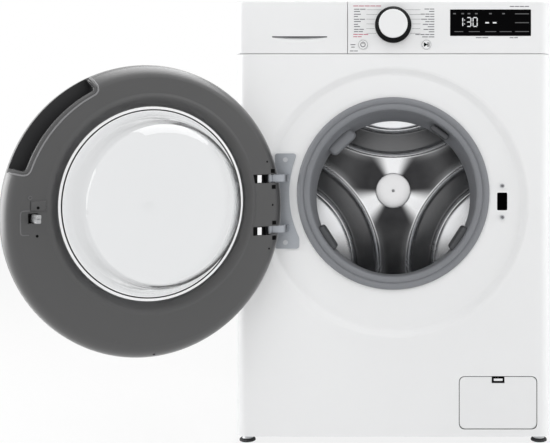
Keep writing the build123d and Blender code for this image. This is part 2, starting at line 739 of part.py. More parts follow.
# Display board with lamp block, encoder and two switches, and the main control box
with BuildPart() as control_boards:
    block(BOARD_X, (FRONT + BOARD_AT, FRONT + BOARD_AT + BOARD_T), BOARD_Z)
    block(
        (DISPLAY_X[0] + WALL, DISPLAY_X[1] - WALL),
        (FRONT + WALL + SHEET, FRONT + BOARD_AT),
        (DISPLAY_Z[0] + WALL, DISPLAY_Z[1] - WALL),
    )
    encoder = ((-ENCODER / 2, ENCODER / 2), (KNOB_Z - ENCODER / 2, KNOB_Z + ENCODER / 2))
    block(encoder[0], (FRONT + 2 * WALL, FRONT + BOARD_AT), encoder[1])
    for place in (POWER_PLACE, START_PLACE):
        wide = (place[0] - SWITCH / 2, place[0] + SWITCH / 2)
        tall = (place[1] - SWITCH / 2, place[1] + SWITCH / 2)
        block(wide, (FRONT + BOARD_AT - WALL, FRONT + BOARD_AT), tall)
    with BuildSketch(facing(FRONT)):
        with Locations((0, KNOB_Z)):
            Circle(STEM_R + RUN)
    extrude(amount=-BOARD_AT, mode=Mode.SUBTRACT)
    box_x = (INNER_X - FLANGE - MAIN_BOX[0], INNER_X - SEAT)
    box_y = (FRONT + MAIN_BOX_AT, FRONT + MAIN_BOX_AT + MAIN_BOX[1])
    box_top = FRAME_TOP - 2 * SHEET - SEAT
    block(box_x, box_y, (box_top - MAIN_BOX[2], box_top))
save(control_boards, "control_boards")

# Programme knob: a sloping skirt ring with its stem, and a cap let into the front
knob_axis = lathe_axis(lathe(KNOB_Z))
with BuildPart() as knob_ring:
    with BuildSketch(lathe(KNOB_Z)):
        with BuildLine():
            Polyline(
                (0, CAP_H - KNOB_H),
                (CAP_R + SEAT, CAP_H - KNOB_H),
                (CAP_R + SEAT, -KNOB_H),
                (KNOB_R[1], SEAT - KNOB_H),
                (KNOB_R[0] - SEAT, -EDGE_R),
                (KNOB_R[0], -KNOB_LIFT),
                (STEM_R, -KNOB_LIFT),
                (STEM_R, BOARD_AT - SEAT),
                (0, BOARD_AT - SEAT),
                close=True,
            )
        make_face()
    revolve(axis=knob_axis)
save(knob_ring, "knob_ring")

with BuildPart() as knob_cap:
    with BuildSketch(lathe(KNOB_Z)) as cap_profile:
        with Locations((0, CAP_H - KNOB_H)):
            Rectangle(CAP_R, CAP_H + BUTTON_PROUD, align=(Align.MIN, Align.MAX))
        fillet(cap_profile.vertices().group_by(Axis.Y)[0].sort_by(Axis.X)[-1], BUTTON_PROUD)
    revolve(axis=knob_axis)
save(knob_cap, "knob_cap")

# Power and start buttons with a flange behind the fascia and a stem to the switch
for place, name in ((POWER_PLACE, "power_button"), (START_PLACE, "start_button")):
    with BuildPart() as button:
        with BuildSketch(facing(FRONT - BUTTON_PROUD)):
            with Locations(place):
                Circle(BUTTON_R)
        extrude(amount=-BUTTON_PROUD - WALL - SEAT)
        fillet(button.edges().group_by(Axis.Y)[0], BUTTON_PROUD / 2)
        with BuildSketch(facing(FRONT + WALL + SEAT)):
            with Locations(place):
                Circle(BUTTON_R + 2 * SHEET)
        extrude(amount=-SHEET)
        with BuildSketch(facing(FRONT + WALL)):
            with Locations(place):
                Circle(STEM_R)
        extrude(amount=2 * WALL + BUTTON_TRAVEL + SEAT - BOARD_AT)
    save(button, name)

# Detergent drawer front with a finger scoop under a lip
with BuildPart() as drawer_front:
    with BuildSketch(level(FASCIA_Z)) as drawer_plan:
        with Locations((-WIDTH / 2, FRONT)):
            Rectangle(DRAWER_SPLIT + WIDTH / 2, DRAWER_T, align=(Align.MIN, Align.MIN))
        fillet(drawer_plan.vertices().group_by(Axis.Y)[0].sort_by(Axis.X)[0], DRAWER_T - SEAT)
    extrude(amount=HEIGHT - FASCIA_Z)
    fillet(drawer_front.edges().group_by(Axis.Z)[-1].sort_by(Axis.Y)[0], EDGE_R)
    grip_mid = (GRIP_X[0] + GRIP_X[1]) / 2
    grip_half = (GRIP_X[1] - GRIP_X[0]) / 2
    hollow_z = (FASCIA_Z + DRAWER_SKIN, HEIGHT - DRAWER_SKIN - EDGE_R)
    hollow_back = FRONT + DRAWER_T
    left_x = (-WIDTH / 2 + DRAWER_T, GRIP_X[0] - EDGE_R)
    right_x = (GRIP_X[1] + EDGE_R, DRAWER_SPLIT - DRAWER_SKIN)
    for pocket_x in (left_x, right_x):
        block(pocket_x, (FRONT + DRAWER_SKIN, hollow_back), hollow_z, mode=Mode.SUBTRACT)
    above = (GRIP_Z + GRIP_UP + DRAWER_SKIN, hollow_z[1])
    block((GRIP_X[0], GRIP_X[1]), (FRONT + DRAWER_SKIN, hollow_back), above, mode=Mode.SUBTRACT)
    with BuildSketch(Plane((grip_mid, FRONT, GRIP_Z))):
        Ellipse(grip_half, GRIP_D)
        Rectangle(2 * grip_half, GRIP_D, align=(Align.CENTER, Align.MAX), mode=Mode.SUBTRACT)
    revolve(axis=Axis((grip_mid, FRONT, GRIP_Z), (-1, 0, 0)), revolution_arc=90, mode=Mode.SUBTRACT)
    block(
        (GRIP_X[0] + GRIP_H, GRIP_X[1] - GRIP_H),
        (FRONT + GRIP_LIP, FRONT + GRIP_D - SEAT),
        (GRIP_Z - SEAM, GRIP_Z + GRIP_UP),
        mode=Mode.SUBTRACT,
    )
save(drawer_front, "drawer_front")

# Drawer tray with three compartments
tray_y = (FRONT + DRAWER_T, FRONT + DRAWER_T + TRAY_L)
cell = (TRAY_WIDE - 4 * TRAY_T) / 3
cell_starts = [TRAY_X[0] + TRAY_T + i * (cell + TRAY_T) for i in range(3)]
with BuildPart() as drawer_tray:
    block(TRAY_X, tray_y, TRAY_Z)
    fillet(drawer_tray.edges().filter_by(Axis.Z).group_by(Axis.Y)[-1], 2 * TRAY_T)
    for start in cell_starts:
        block(
            (start, start + cell),
            (tray_y[0] + TRAY_T, tray_y[1] - TRAY_T),
            (TRAY_Z[0] + TRAY_T, TRAY_Z[1]),
            mode=Mode.SUBTRACT,
        )
save(drawer_tray, "drawer_tray")

# Dispenser housing with the drawer well, the water duct and the fill spigot
housing_x = (mouth_x[0] - HOUSING_T, mouth_x[1] + HOUSING_T)
well_floor = TRAY_Z[0] - SEAT
housing_z = (well_floor - HOUSING_T, mouth_z[1] + HOUSING_T)
housing_end = tray_y[1] + 2 * HOUSING_T
valve_front = SHELL_REAR - SHEET - VALVE_BODY[2]
with BuildPart() as dispenser_housing:
    block(housing_x, (SHELL_FRONT, housing_end), housing_z)
    block(mouth_x, (SHELL_FRONT, housing_end - HOUSING_T), (well_floor, mouth_z[1]), mode=Mode.SUBTRACT)
    duct_x = (VALVE_X - DUCT[0] / 2, VALVE_X + DUCT[0] / 2)
    duct_z = (VALVE_Z - DUCT[1] / 2, VALVE_Z + DUCT[1] / 2)
    block(duct_x, (housing_end - HOUSING_T, valve_front), duct_z)
    block(
        (duct_x[0] + HOUSING_T, duct_x[1] - HOUSING_T),
        (housing_end - 2 * HOUSING_T, valve_front),
        (duct_z[0] + HOUSING_T, duct_z[1] - HOUSING_T),
        mode=Mode.SUBTRACT,
    )
    with BuildSketch(level(housing_z[0])):
        with Locations((FILL_X, FILL_Y)):
            Circle(SPIGOT_R)
    extrude(amount=-FILL_DROP)
    with BuildSketch(level(well_floor)):
        with Locations((FILL_X, FILL_Y)):
            Circle(SPIGOT_R - SPIGOT_T)
    extrude(amount=-FILL_DROP - HOUSING_T, mode=Mode.SUBTRACT)
save(dispenser_housing, "dispenser_housing")

# Inlet valve with its threaded inlet through the rear
with BuildPart() as inlet_valve:
    block(
        (VALVE_X - VALVE_BODY[0] / 2, VALVE_X + VALVE_BODY[0] / 2),
        (valve_front, SHELL_REAR - SHEET),
        (VALVE_Z - VALVE_BODY[1] / 2 - SEAM, VALVE_Z + VALVE_BODY[1] / 2 - SEAM),
    )
    fillet(inlet_valve.edges().filter_by(Axis.Y), WALL)
    with BuildSketch(facing(SHELL_REAR - SHEET)):
        with Locations((VALVE_X, VALVE_Z)):
            Circle(THREAD_R - SEAT)
    extrude(amount=-SHEET - 2 * SEAT)
    with BuildSketch(facing(SHELL_REAR + SEAT)):
        with Locations((VALVE_X, VALVE_Z)):
            Circle(THREAD_R)
    extrude(amount=SEAT - REAR_STEP)
    chamfer(inlet_valve.edges().group_by(Axis.Y)[-1], SHEET)
    with BuildSketch(facing(REAR)):
        with Locations((VALVE_X, VALVE_Z)):
            Circle(THREAD_BORE)
    extrude(amount=VALVE_BODY[2] / 2, mode=Mode.SUBTRACT)
save(inlet_valve, "inlet_valve")

# Cable gland for the mains lead
with BuildPart() as mains_gland:
    with BuildSketch(facing(SHELL_REAR)):
        with Locations((GLAND_X, GLAND_Z)):
            Circle(GLAND_R[2])
    extrude(amount=-WALL)
    with BuildSketch(facing(SHELL_REAR)):
        with Locations((GLAND_X, GLAND_Z)):
            Circle(GLAND_R[1])
    extrude(amount=REAR_STEP, both=True)
    fillet(mains_gland.edges().group_by(Axis.Y)[-1], WALL)
    with BuildSketch(facing(SHELL_REAR)):
        with Locations((GLAND_X, GLAND_Z)):
            Circle(GLAND_R[0])
    extrude(amount=REAR_STEP, both=True, mode=Mode.SUBTRACT)
save(mains_gland, "mains_gland")

# Tub front half with its mouth collar and the fill inlet
tub_axis = lathe_axis(lathe(DRUM_Z))
fill_at_tub = DRUM_Z + sqrt(TUB_OUT**2 - FILL_X**2)
with BuildPart() as tub_front:
    with BuildSketch(level(DRUM_Z)):
        with Locations((FILL_X, FILL_Y)):
            Circle(SPIGOT_R)
    extrude(amount=fill_at_tub + FILL_RISE - DRUM_Z)
    with BuildSketch(level(DRUM_Z)):
        with Locations((FILL_X, FILL_Y)):
            Circle(SPIGOT_R - SPIGOT_T)
    extrude(amount=fill_at_tub + FILL_RISE - DRUM_Z, mode=Mode.SUBTRACT)
    with BuildSketch(lathe(DRUM_Z)):
        with Locations((0, TUB_FRONT)):
            Rectangle(TUB_R, TUB_SPLIT, align=(Align.MIN, Align.MIN))
    revolve(axis=tub_axis, mode=Mode.SUBTRACT)
    with BuildSketch(lathe(DRUM_Z)):
        with BuildLine():
            Polyline(
                (TUB_MOUTH_R, TUB_FRONT - TUB_COLLAR),
                (COLLAR_R, TUB_FRONT - TUB_COLLAR),
                (COLLAR_R, TUB_FRONT),
                (TUB_OUT - TUB_T, TUB_FRONT),
                (TUB_OUT, TUB_FRONT + TUB_T),
                (TUB_OUT, TUB_SPLIT - TUB_FLANGE_T),
                (TUB_OUT + TUB_FLANGE, TUB_SPLIT - TUB_FLANGE_T),
                (TUB_OUT + TUB_FLANGE, TUB_SPLIT),
                (TUB_R, TUB_SPLIT),
                (TUB_R, TUB_FRONT + 2 * TUB_T),
                (TUB_R - TUB_T, TUB_FRONT + TUB_T),
                (TUB_MOUTH_R, TUB_FRONT + TUB_T),
                close=True,
            )
        make_face()
    revolve(axis=tub_axis)
    with BuildSketch(level(fill_at_tub)):
        with Locations((FILL_X, FILL_Y)):
            Circle(SPIGOT_R - SPIGOT_T)
    extrude(amount=FILL_RISE, both=True, mode=Mode.SUBTRACT)
save(tub_front, "tub_front")

# Tub rear half with bearing hub, spring lugs, damper lugs and sump spigot
tub_back_out = TUB_BACK + TUB_BACK_T
hub_end = TUB_BACK + TUB_HUB_L
heater_z = DRUM_Z - sqrt((DRUM_R + TUB_GAP / 2) ** 2 - HEATER_X**2)
sump_top = DRUM_Z - sqrt(TUB_OUT**2 - SUMP_X**2)
sump_end = sump_top - SUMP_DROP
with BuildPart() as tub_rear:
    for hand in (-1, 1):
        lug_x = sorted((0, hand * (SPRING_X + SPRING_R[1])))
        lug_y = (SPRING_Y - SPRING_R[1], SPRING_Y + SPRING_R[1])
        block(lug_x, lug_y, (SPRING_LUG_Z, SPRING_LUG_Z + LUG_T))
        foot_x = (hand * DAMPER_X - DAMPER_HEAD[0], hand * DAMPER_X + DAMPER_HEAD[0])
        foot_y = (DAMPER_Y - DAMPER_HEAD[0], DAMPER_Y + DAMPER_HEAD[0])
        block(foot_x, foot_y, (DAMPER_LUG_Z, DRUM_Z))
    with BuildSketch(level(sump_end)):
        with Locations((SUMP_X, SUMP_Y)):
            Circle(SPIGOT_R)
    extrude(amount=DRUM_Z - sump_end)
    with BuildSketch(lathe(DRUM_Z)):
        with Locations((0, TUB_SPLIT)):
            Rectangle(TUB_R, TUB_BACK - TUB_SPLIT, align=(Align.MIN, Align.MIN))
    revolve(axis=tub_axis, mode=Mode.SUBTRACT)
    with BuildSketch(lathe(DRUM_Z)):
        with BuildLine():
            Polyline(
                (SHAFT_R + TUB_T, TUB_BACK),
                (SHAFT_R + TUB_T, hub_end),
                (TUB_HUB_R, hub_end),
                (TUB_HUB_R, tub_back_out),
                (TUB_R, tub_back_out),
                (TUB_OUT, tub_back_out - TUB_T),
                (TUB_OUT, TUB_SPLIT + TUB_FLANGE_T),
                (TUB_OUT + TUB_FLANGE, TUB_SPLIT + TUB_FLANGE_T),
                (TUB_OUT + TUB_FLANGE, TUB_SPLIT),
                (TUB_R, TUB_SPLIT),
                (TUB_R, TUB_BACK - TUB_T),
                (TUB_R - TUB_T, TUB_BACK),
                close=True,
            )
        make_face()
    revolve(axis=tub_axis)
    with BuildSketch(facing(FRONT + TUB_BACK)):
        with Locations((0, DRUM_Z)):
            Circle(BEARING_FRONT[0])
    extrude(amount=-BEARING_FRONT[1] - SEAT, mode=Mode.SUBTRACT)
    with BuildSketch(facing(FRONT + hub_end)):
        with Locations((0, DRUM_Z)):
            Circle(BEARING_REAR[0])
    extrude(amount=BEARING_REAR[1] + SEAT, mode=Mode.SUBTRACT)
    with BuildSketch(level(sump_end)):
        with Locations((SUMP_X, SUMP_Y)):
            Circle(SPIGOT_R - SPIGOT_T)
    extrude(amount=SUMP_DROP + SPIGOT_R, mode=Mode.SUBTRACT)
    with BuildSketch(facing(FRONT + TUB_BACK)):
        with Locations((-HEATER_X, heater_z), (HEATER_X, heater_z)):
            Circle(HEATER_R + SEAT)
    extrude(amount=-TUB_BACK_T, mode=Mode.SUBTRACT)
save(tub_rear, "tub_rear")

# Concrete counterweights on the front wall of the tub
with BuildPart() as counterweights:
    with BuildSketch(facing(FRONT + TUB_FRONT)):
        with Locations((0, DRUM_Z)):
            Circle(WEIGHT_R[1])
            Circle(WEIGHT_R[0], mode=Mode.SUBTRACT)
            Rectangle(2 * WEIGHT_R[1], 2 * WEIGHT_GAP, mode=Mode.SUBTRACT)
    extrude(amount=WEIGHT_T)
    fillet(counterweights.edges().group_by(Axis.Y)[0], EDGE_R)
save(counterweights, "counterweights")

# Tubular heater under the drum, through the rear wall of the tub
heater_end = TUB_BACK + TUB_BACK_T + HEATER_PLATE[2] + 4 * HEATER_R
with BuildPart() as heater:
    with BuildLine() as heater_line:
        Polyline(
            (-HEATER_X, FRONT + heater_end, heater_z),
            (-HEATER_X, FRONT + HEATER_FROM, heater_z),
        )
        ThreePointArc(
            (-HEATER_X, FRONT + HEATER_FROM, heater_z),
            (0, FRONT + HEATER_FROM - HEATER_X, heater_z),
            (HEATER_X, FRONT + HEATER_FROM, heater_z),
        )
        Polyline(
            (HEATER_X, FRONT + HEATER_FROM, heater_z),
            (HEATER_X, FRONT + heater_end, heater_z),
        )
    with BuildSketch(facing(FRONT + heater_end)):
        with Locations((-HEATER_X, heater_z)):
            Circle(HEATER_R)
    sweep(path=heater_line.line)
    with BuildSketch(facing(FRONT + tub_back_out)):
        with Locations((0, heater_z)):
            RectangleRounded(HEATER_PLATE[0], HEATER_PLATE[1], HEATER_R)
    extrude(amount=-HEATER_PLATE[2])
save(heater, "heater")

# Drum shell with its rolled mouth and rows of water holes
drum_end = DRUM_BACK + DRUM_SKIRT
drum_axis = lathe_axis(lathe(DRUM_Z))
with BuildPart() as drum_shell:
    with BuildSketch(lathe(DRUM_Z)):
        with BuildLine():
            Polyline(
                (DRUM_MOUTH_R, DRUM_FRONT + 2 * EDGE_R),
                (DRUM_MOUTH_R, DRUM_FRONT + DRUM_T),
                (DRUM_MOUTH_R + DRUM_T, DRUM_FRONT),
                (DRUM_R - EDGE_R, DRUM_FRONT),
                (DRUM_R, DRUM_FRONT + EDGE_R),
                (DRUM_R, drum_end),
                (DRUM_R - DRUM_T, drum_end),
                (DRUM_R - DRUM_T, DRUM_FRONT + EDGE_R + DRUM_T),
                (DRUM_R - EDGE_R - DRUM_T, DRUM_FRONT + DRUM_T),
                (DRUM_MOUTH_R + DRUM_T, DRUM_FRONT + DRUM_T),
                (DRUM_MOUTH_R + DRUM_T, DRUM_FRONT + 2 * EDGE_R),
                close=True,
            )
        make_face()
    revolve(axis=drum_axis)
    row_pitch = (DRUM_BACK - DRUM_FRONT) / (HOLE_ROWS + 1)
    for column in range(HOLE_COLUMNS):
        hole_plane = lathe(DRUM_Z, 360 * (column + 0.5) / HOLE_COLUMNS)
        drill = Plane(hole_plane.origin, x_dir=hole_plane.y_dir, z_dir=hole_plane.x_dir)
        with BuildSketch(drill.offset(DRUM_R - EDGE_R)):
            for row in range(HOLE_ROWS):
                with Locations((DRUM_FRONT + row_pitch * (row + 1), 0)):
                    Circle(HOLE_R)
        extrude(amount=2 * EDGE_R, mode=Mode.SUBTRACT)
save(drum_shell, "drum_shell")

# Drum back: a sheet disc with three pressed arc channels
with BuildPart() as drum_back:
    disc_r = DRUM_R - DRUM_T - RUN
    with BuildSketch(facing(FRONT + DRUM_BACK)):
        with Locations((0, DRUM_Z)):
            Circle(disc_r)
    extrude(amount=-DRUM_T)
    for depth, inset, mode in ((CHANNEL_D + DRUM_T, 0, Mode.ADD), (CHANNEL_D, DRUM_T, Mode.SUBTRACT)):
        with BuildSketch(facing(FRONT + DRUM_BACK)):
            for turn in DRUM_TURNS:
                at = (CHANNEL_AT * cos(radians(turn)), DRUM_Z + CHANNEL_AT * sin(radians(turn)))
                with Locations(at):
                    Circle(CHANNEL_R[1] - inset)
                with Locations(at):
                    Circle(CHANNEL_R[0] + inset, mode=Mode.SUBTRACT)
            with Locations((0, DRUM_Z)):
                Circle(CHANNEL_EDGE_R - inset, mode=Mode.INTERSECT)
        extrude(amount=-depth, mode=mode)
save(drum_back, "drum_back")

# Hub cap in the middle of the drum back
with BuildPart() as hub_cap:
    with BuildSketch(lathe(DRUM_Z)):
        with BuildLine():
            Polyline((0, DRUM_BACK - HUB_H), (0, DRUM_BACK), (HUB_R, DRUM_BACK))
            TangentArc((0, DRUM_BACK - HUB_H), (HUB_R, DRUM_BACK), tangent=(1, 0))
        make_face()
    revolve(axis=drum_axis)
save(hub_cap, "hub_cap")

# Three lifters inside the drum wall
with BuildPart() as drum_lifters:
    lifter_half = LIFTER_W / 2
    lifter_r = sqrt((DRUM_R - DRUM_T - SEAT) ** 2 - lifter_half**2)
    lifter_y = FRONT + (DRUM_FRONT + DRUM_BACK + LIFTER_L) / 2
    for turn in DRUM_TURNS:
        out = (cos(radians(turn)), 0, sin(radians(turn)))
        with BuildSketch(Plane((0, lifter_y, DRUM_Z), x_dir=out, z_dir=(0, -1, 0))):
            with BuildLine():
                Polyline(
                    (lifter_r, lifter_half),
                    (lifter_r - LIFTER_H, lifter_half - LIFTER_DRAFT),
                    (lifter_r - LIFTER_H, LIFTER_DRAFT - lifter_half),
                    (lifter_r, -lifter_half),
                    close=True,
                )
            make_face()
        extrude(amount=LIFTER_L)
    fillet(drum_lifters.edges().filter_by(Axis.Y), LIFTER_EDGE)
save(drum_lifters, "drum_lifters")

# Three armed spider behind the drum back
spider_at = FRONT + DRUM_BACK + DRUM_T
with BuildPart() as drum_spider:
    with BuildSketch(facing(spider_at)):
        with Locations((0, DRUM_Z)):
            Circle(SPIDER_HUB_R)
        for turn in DRUM_TURNS:
            with Locations(Location((0, DRUM_Z, 0), (0, 0, turn + 180))):
                Rectangle(DRUM_R - 4 * EDGE_R, SPIDER_ARM, align=(Align.MIN, Align.CENTER))
    extrude(amount=-SPIDER_T)
    with BuildSketch(facing(spider_at)):
        with Locations((0, DRUM_Z)):
            Circle(SHAFT_R)
    extrude(amount=-SPIDER_T, mode=Mode.SUBTRACT)
save(drum_spider, "drum_spider")

# Drum shaft, stepped for its two bearings and the rotor, with the rotor nut
rotor_at = hub_end + ROTOR_PLATE
shaft_end = rotor_at + ROTOR_HUB_L + NUT_H
with BuildPart() as drum_shaft:
    with BuildSketch(lathe(DRUM_Z)):
        with BuildLine():
            Polyline(
                (0, DRUM_BACK + DRUM_T),
                (SHAFT_R, DRUM_BACK + DRUM_T),
                (SHAFT_R, TUB_BACK + BEARING_FRONT[1] + SEAT),
                (SHAFT_REAR_R, TUB_BACK + BEARING_FRONT[1] + SEAT),
                (SHAFT_REAR_R, rotor_at),
                (SHAFT_END_R, rotor_at),
                (SHAFT_END_R, shaft_end),
                (0, shaft_end),
                close=True,
            )
        make_face()
    revolve(axis=drum_axis)
    with BuildSketch(facing(FRONT + shaft_end)):
        with Locations((0, DRUM_Z)):
            RegularPolygon(SHAFT_R, 6)
            Circle(SHAFT_END_R + RUN, mode=Mode.SUBTRACT)
    extrude(amount=NUT_H)
save(drum_shaft, "drum_shaft")

# Two ball bearings in the tub hub
with BuildPart() as drum_bearings:
    with BuildSketch(facing(FRONT + TUB_BACK + SEAT)):
        with Locations((0, DRUM_Z)):
            Circle(BEARING_FRONT[0] - RUN)
            Circle(SHAFT_R + RUN, mode=Mode.SUBTRACT)
    extrude(amount=-BEARING_FRONT[1])
    with BuildSketch(facing(FRONT + hub_end - BEARING_REAR[1])):
        with Locations((0, DRUM_Z)):
            Circle(BEARING_REAR[0] - RUN)
            Circle(SHAFT_REAR_R + RUN, mode=Mode.SUBTRACT)
    extrude(amount=-BEARING_REAR[1])
save(drum_bearings, "drum_bearings")

# Motor stator on the back of the tub
stator_at = FRONT + tub_back_out
with BuildPart() as motor_stator:
    with BuildSketch(facing(stator_at)):
        with Locations((0, DRUM_Z)):
            Circle(STATOR_R[0] + 2 * STATOR_BASE)
            Circle(STATOR_R[0] - STATOR_BASE, mode=Mode.SUBTRACT)
    extrude(amount=-STATOR_BASE)
    with BuildSketch(facing(stator_at + STATOR_BASE)):
        with Locations((0, DRUM_Z)):
            Circle(STATOR_R[1])
            Circle(STATOR_R[0], mode=Mode.SUBTRACT)
            with PolarLocations(STATOR_R[1] - STATOR_SLOT[0] / 2, STATOR_SLOTS):
                Rectangle(STATOR_SLOT[0], STATOR_SLOT[1], mode=Mode.SUBTRACT)
    extrude(amount=-STATOR_T)
save(motor_stator, "motor_stator")

# Motor rotor: a cup round the stator, carried on the end of the shaft
with BuildPart() as motor_rotor:
    rotor_in = STATOR_R[1] + ROTOR_GAP
    rotor_from = tub_back_out + STATOR_BASE
    with BuildSketch(lathe(DRUM_Z)):
        with BuildLine():
            Polyline(
                (rotor_in, rotor_from),
                (rotor_in + ROTOR_T, rotor_from),
                (rotor_in + ROTOR_T, rotor_at + ROTOR_PLATE),
                (ROTOR_HUB_R, rotor_at + ROTOR_PLATE),
                (ROTOR_HUB_R, rotor_at + ROTOR_HUB_L),
                (SHAFT_END_R + RUN, rotor_at + ROTOR_HUB_L),
                (SHAFT_END_R + RUN, rotor_at),
                (rotor_in, rotor_at),
                close=True,
            )
        make_face()
    revolve(axis=drum_axis)
save(motor_rotor, "motor_rotor")

# Door gasket: front bead and lip, then a bellows to the tub collar
gasket_axis = lathe_axis(lathe(MOUTH_Z))
bellows_from = RECESS_D + MOUTH_FLANGE + 4 * GASKET_T
bellows_mid = (bellows_from + TUB_FRONT - TUB_COLLAR) / 2
neck_r = MOUTH_R - 2 * GASKET_T
cuff_out = CUFF_R + GASKET_T
bead_w = RECESS_D - BEAD_H
bead_in = GASKET_R - BEAD_W
groove_w = bead_w + GROOVE
lip_back = GASKET_LIP_R + 2 * GASKET_T
with BuildPart() as gasket:
    for inset, mode in ((0, Mode.ADD), (GASKET_T, Mode.SUBTRACT)):
        with BuildSketch(facing(FRONT + bellows_from)):
            with Locations((0, MOUTH_Z)):
                Circle(neck_r - inset)
        with BuildSketch(facing(FRONT + bellows_mid)):
            with Locations((0, (MOUTH_Z + DRUM_Z) / 2)):
                Circle(GASKET_BELLY - inset)
        with BuildSketch(facing(FRONT + TUB_FRONT - TUB_COLLAR)):
            with Locations((0, DRUM_Z)):
                Circle(cuff_out - inset)
        loft(ruled=True, mode=mode)
        with BuildSketch(facing(FRONT + TUB_FRONT - TUB_COLLAR)):
            with Locations((0, DRUM_Z)):
                Circle(cuff_out - inset)
        extrude(amount=SEAT - TUB_COLLAR, mode=mode)
    with BuildSketch(lathe(MOUTH_Z)) as gasket_profile:
        with BuildLine():
            Polyline(
                (GASKET_R, RECESS_D),
                (GASKET_R, groove_w),
                (GASKET_R - GASKET_T, bead_w),
                (bead_in, bead_w),
                (bead_in - GROOVE / 2, groove_w),
                (bead_in - GROOVE, groove_w),
                (bead_in - 2 * GROOVE, bead_w),
                (GASKET_LIP_R + GASKET_T, bead_w + GROOVE),
                (GASKET_LIP_R, RECESS_D),
                (GASKET_LIP_R, RECESS_D + GASKET_T),
                (neck_r - GASKET_T, bellows_from - GASKET_T),
                (neck_r - GASKET_T, bellows_from),
                (neck_r, bellows_from),
                (neck_r, bellows_from - 2 * GASKET_T),
                (lip_back, RECESS_D + 2 * GASKET_T),
                (lip_back, RECESS_D + SEAM),
                (MOUTH_R - BEAD_W, RECESS_D),
                (MOUTH_R - 2 * GASKET_T, RECESS_D + GASKET_T),
                (MOUTH_R - SEAT, RECESS_D + GASKET_T),
                (MOUTH_R - SEAT, RECESS_D),
                close=True,
            )
        make_face()
    revolve(axis=gasket_axis)
    for angle in NOZZLE_ANGLES:
        hole_plane = lathe(MOUTH_Z, angle)
        drill = Plane(hole_plane.origin, x_dir=hole_plane.y_dir, z_dir=hole_plane.x_dir)
        with BuildSketch(drill.offset(NOZZLE_REACH[0])):
            with Locations((NOZZLE_AT, 0)):
                Circle(NOZZLE_R + SEAT)
        extrude(amount=GASKET_BELLY - NOZZLE_REACH[0] + GASKET_T, mode=Mode.SUBTRACT)
save(gasket, "gasket")

# Spray nozzles through the gasket wall
with BuildPart() as spray_nozzles:
    for angle in NOZZLE_ANGLES:
        hole_plane = lathe(MOUTH_Z, angle)
        drill = Plane(hole_plane.origin, x_dir=hole_plane.y_dir, z_dir=hole_plane.x_dir)
        with BuildSketch(drill.offset(NOZZLE_REACH[0])):
            with Locations((NOZZLE_AT, 0)):
                Circle(NOZZLE_R)
        extrude(amount=NOZZLE_REACH[1] - NOZZLE_REACH[0])
        with BuildSketch(drill.offset(NOZZLE_REACH[0])):
            with Locations((NOZZLE_AT, 0)):
                RectangleRounded(NOZZLE_BLOCK[1], NOZZLE_BLOCK[0], NOZZLE_R / 2)
        extrude(amount=NOZZLE_BLOCK[2])
save(spray_nozzles, "spray_nozzles")

# Clamp band that holds the gasket cuff on the tub collar
with BuildPart() as gasket_clamp:
    clamp_r = cuff_out + SEAT
    with BuildSketch(facing(FRONT + TUB_FRONT - GASKET_T)):
        with Locations((0, DRUM_Z)):
            Circle(clamp_r + CLAMP_T)
            Circle(clamp_r, mode=Mode.SUBTRACT)
    extrude(amount=CLAMP_W)
save(gasket_clamp, "gasket_clamp")

# Suspension springs between the shell brackets and the tub lugs
with BuildPart() as suspension_springs:
    lug_top = SPRING_LUG_Z + LUG_T
    with BuildSketch(level(lug_top + SEAT)):
        with Locations((-SPRING_X, SPRING_Y), (SPRING_X, SPRING_Y)):
            Circle(SPRING_R[1])
            Circle(SPRING_R[0], mode=Mode.SUBTRACT)
    extrude(amount=spring_hang - lug_top - SEAT)
save(suspension_springs, "suspension_springs")

# Dampers: cylinders on the base pan, rods under the tub
damper_places = [(-DAMPER_X, DAMPER_Y), (DAMPER_X, DAMPER_Y)]
rod_foot = PAN_FLOOR + DAMPER_FOOT[1] + 4 * BOUNCE
with BuildPart() as damper_cylinders:
    with BuildSketch(level(PAN_FLOOR)):
        with Locations(*damper_places):
            Circle(DAMPER_FOOT[0])
    extrude(amount=DAMPER_FOOT[1])
    with BuildSketch(level(PAN_FLOOR)):
        with Locations(*damper_places):
            Circle(DAMPER_R)
    extrude(amount=DAMPER_TOP - PAN_FLOOR)
    with BuildSketch(level(rod_foot - 2 * BOUNCE)):
        with Locations(*damper_places):
            Circle(DAMPER_ROD_R + RUN)
    extrude(amount=DAMPER_TOP - rod_foot + 2 * BOUNCE, mode=Mode.SUBTRACT)
save(damper_cylinders, "damper_cylinders")

with BuildPart() as damper_rods:
    with BuildSketch(level(rod_foot)):
        with Locations(*damper_places):
            Circle(DAMPER_ROD_R)
    extrude(amount=DAMPER_LUG_Z - rod_foot)
    with BuildSketch(level(DAMPER_LUG_Z - DAMPER_HEAD[1])):
        with Locations(*damper_places):
            Circle(DAMPER_HEAD[0])
    extrude(amount=DAMPER_HEAD[1])
save(damper_rods, "damper_rods")

# Fill hose from the dispenser to the tub
with BuildPart() as fill_hose:
    hose_r = SPIGOT_R + SEAT
    fill_low = fill_at_tub + FILL_RISE - HOSE_LAP
    fill_high = housing_z[0] - FILL_DROP + HOSE_LAP
    with BuildSketch(level(fill_low)):
        with Locations((FILL_X, FILL_Y)):
            Circle(hose_r + HOSE_T)
            Circle(hose_r, mode=Mode.SUBTRACT)
    extrude(amount=fill_high - fill_low)
save(fill_hose, "fill_hose")

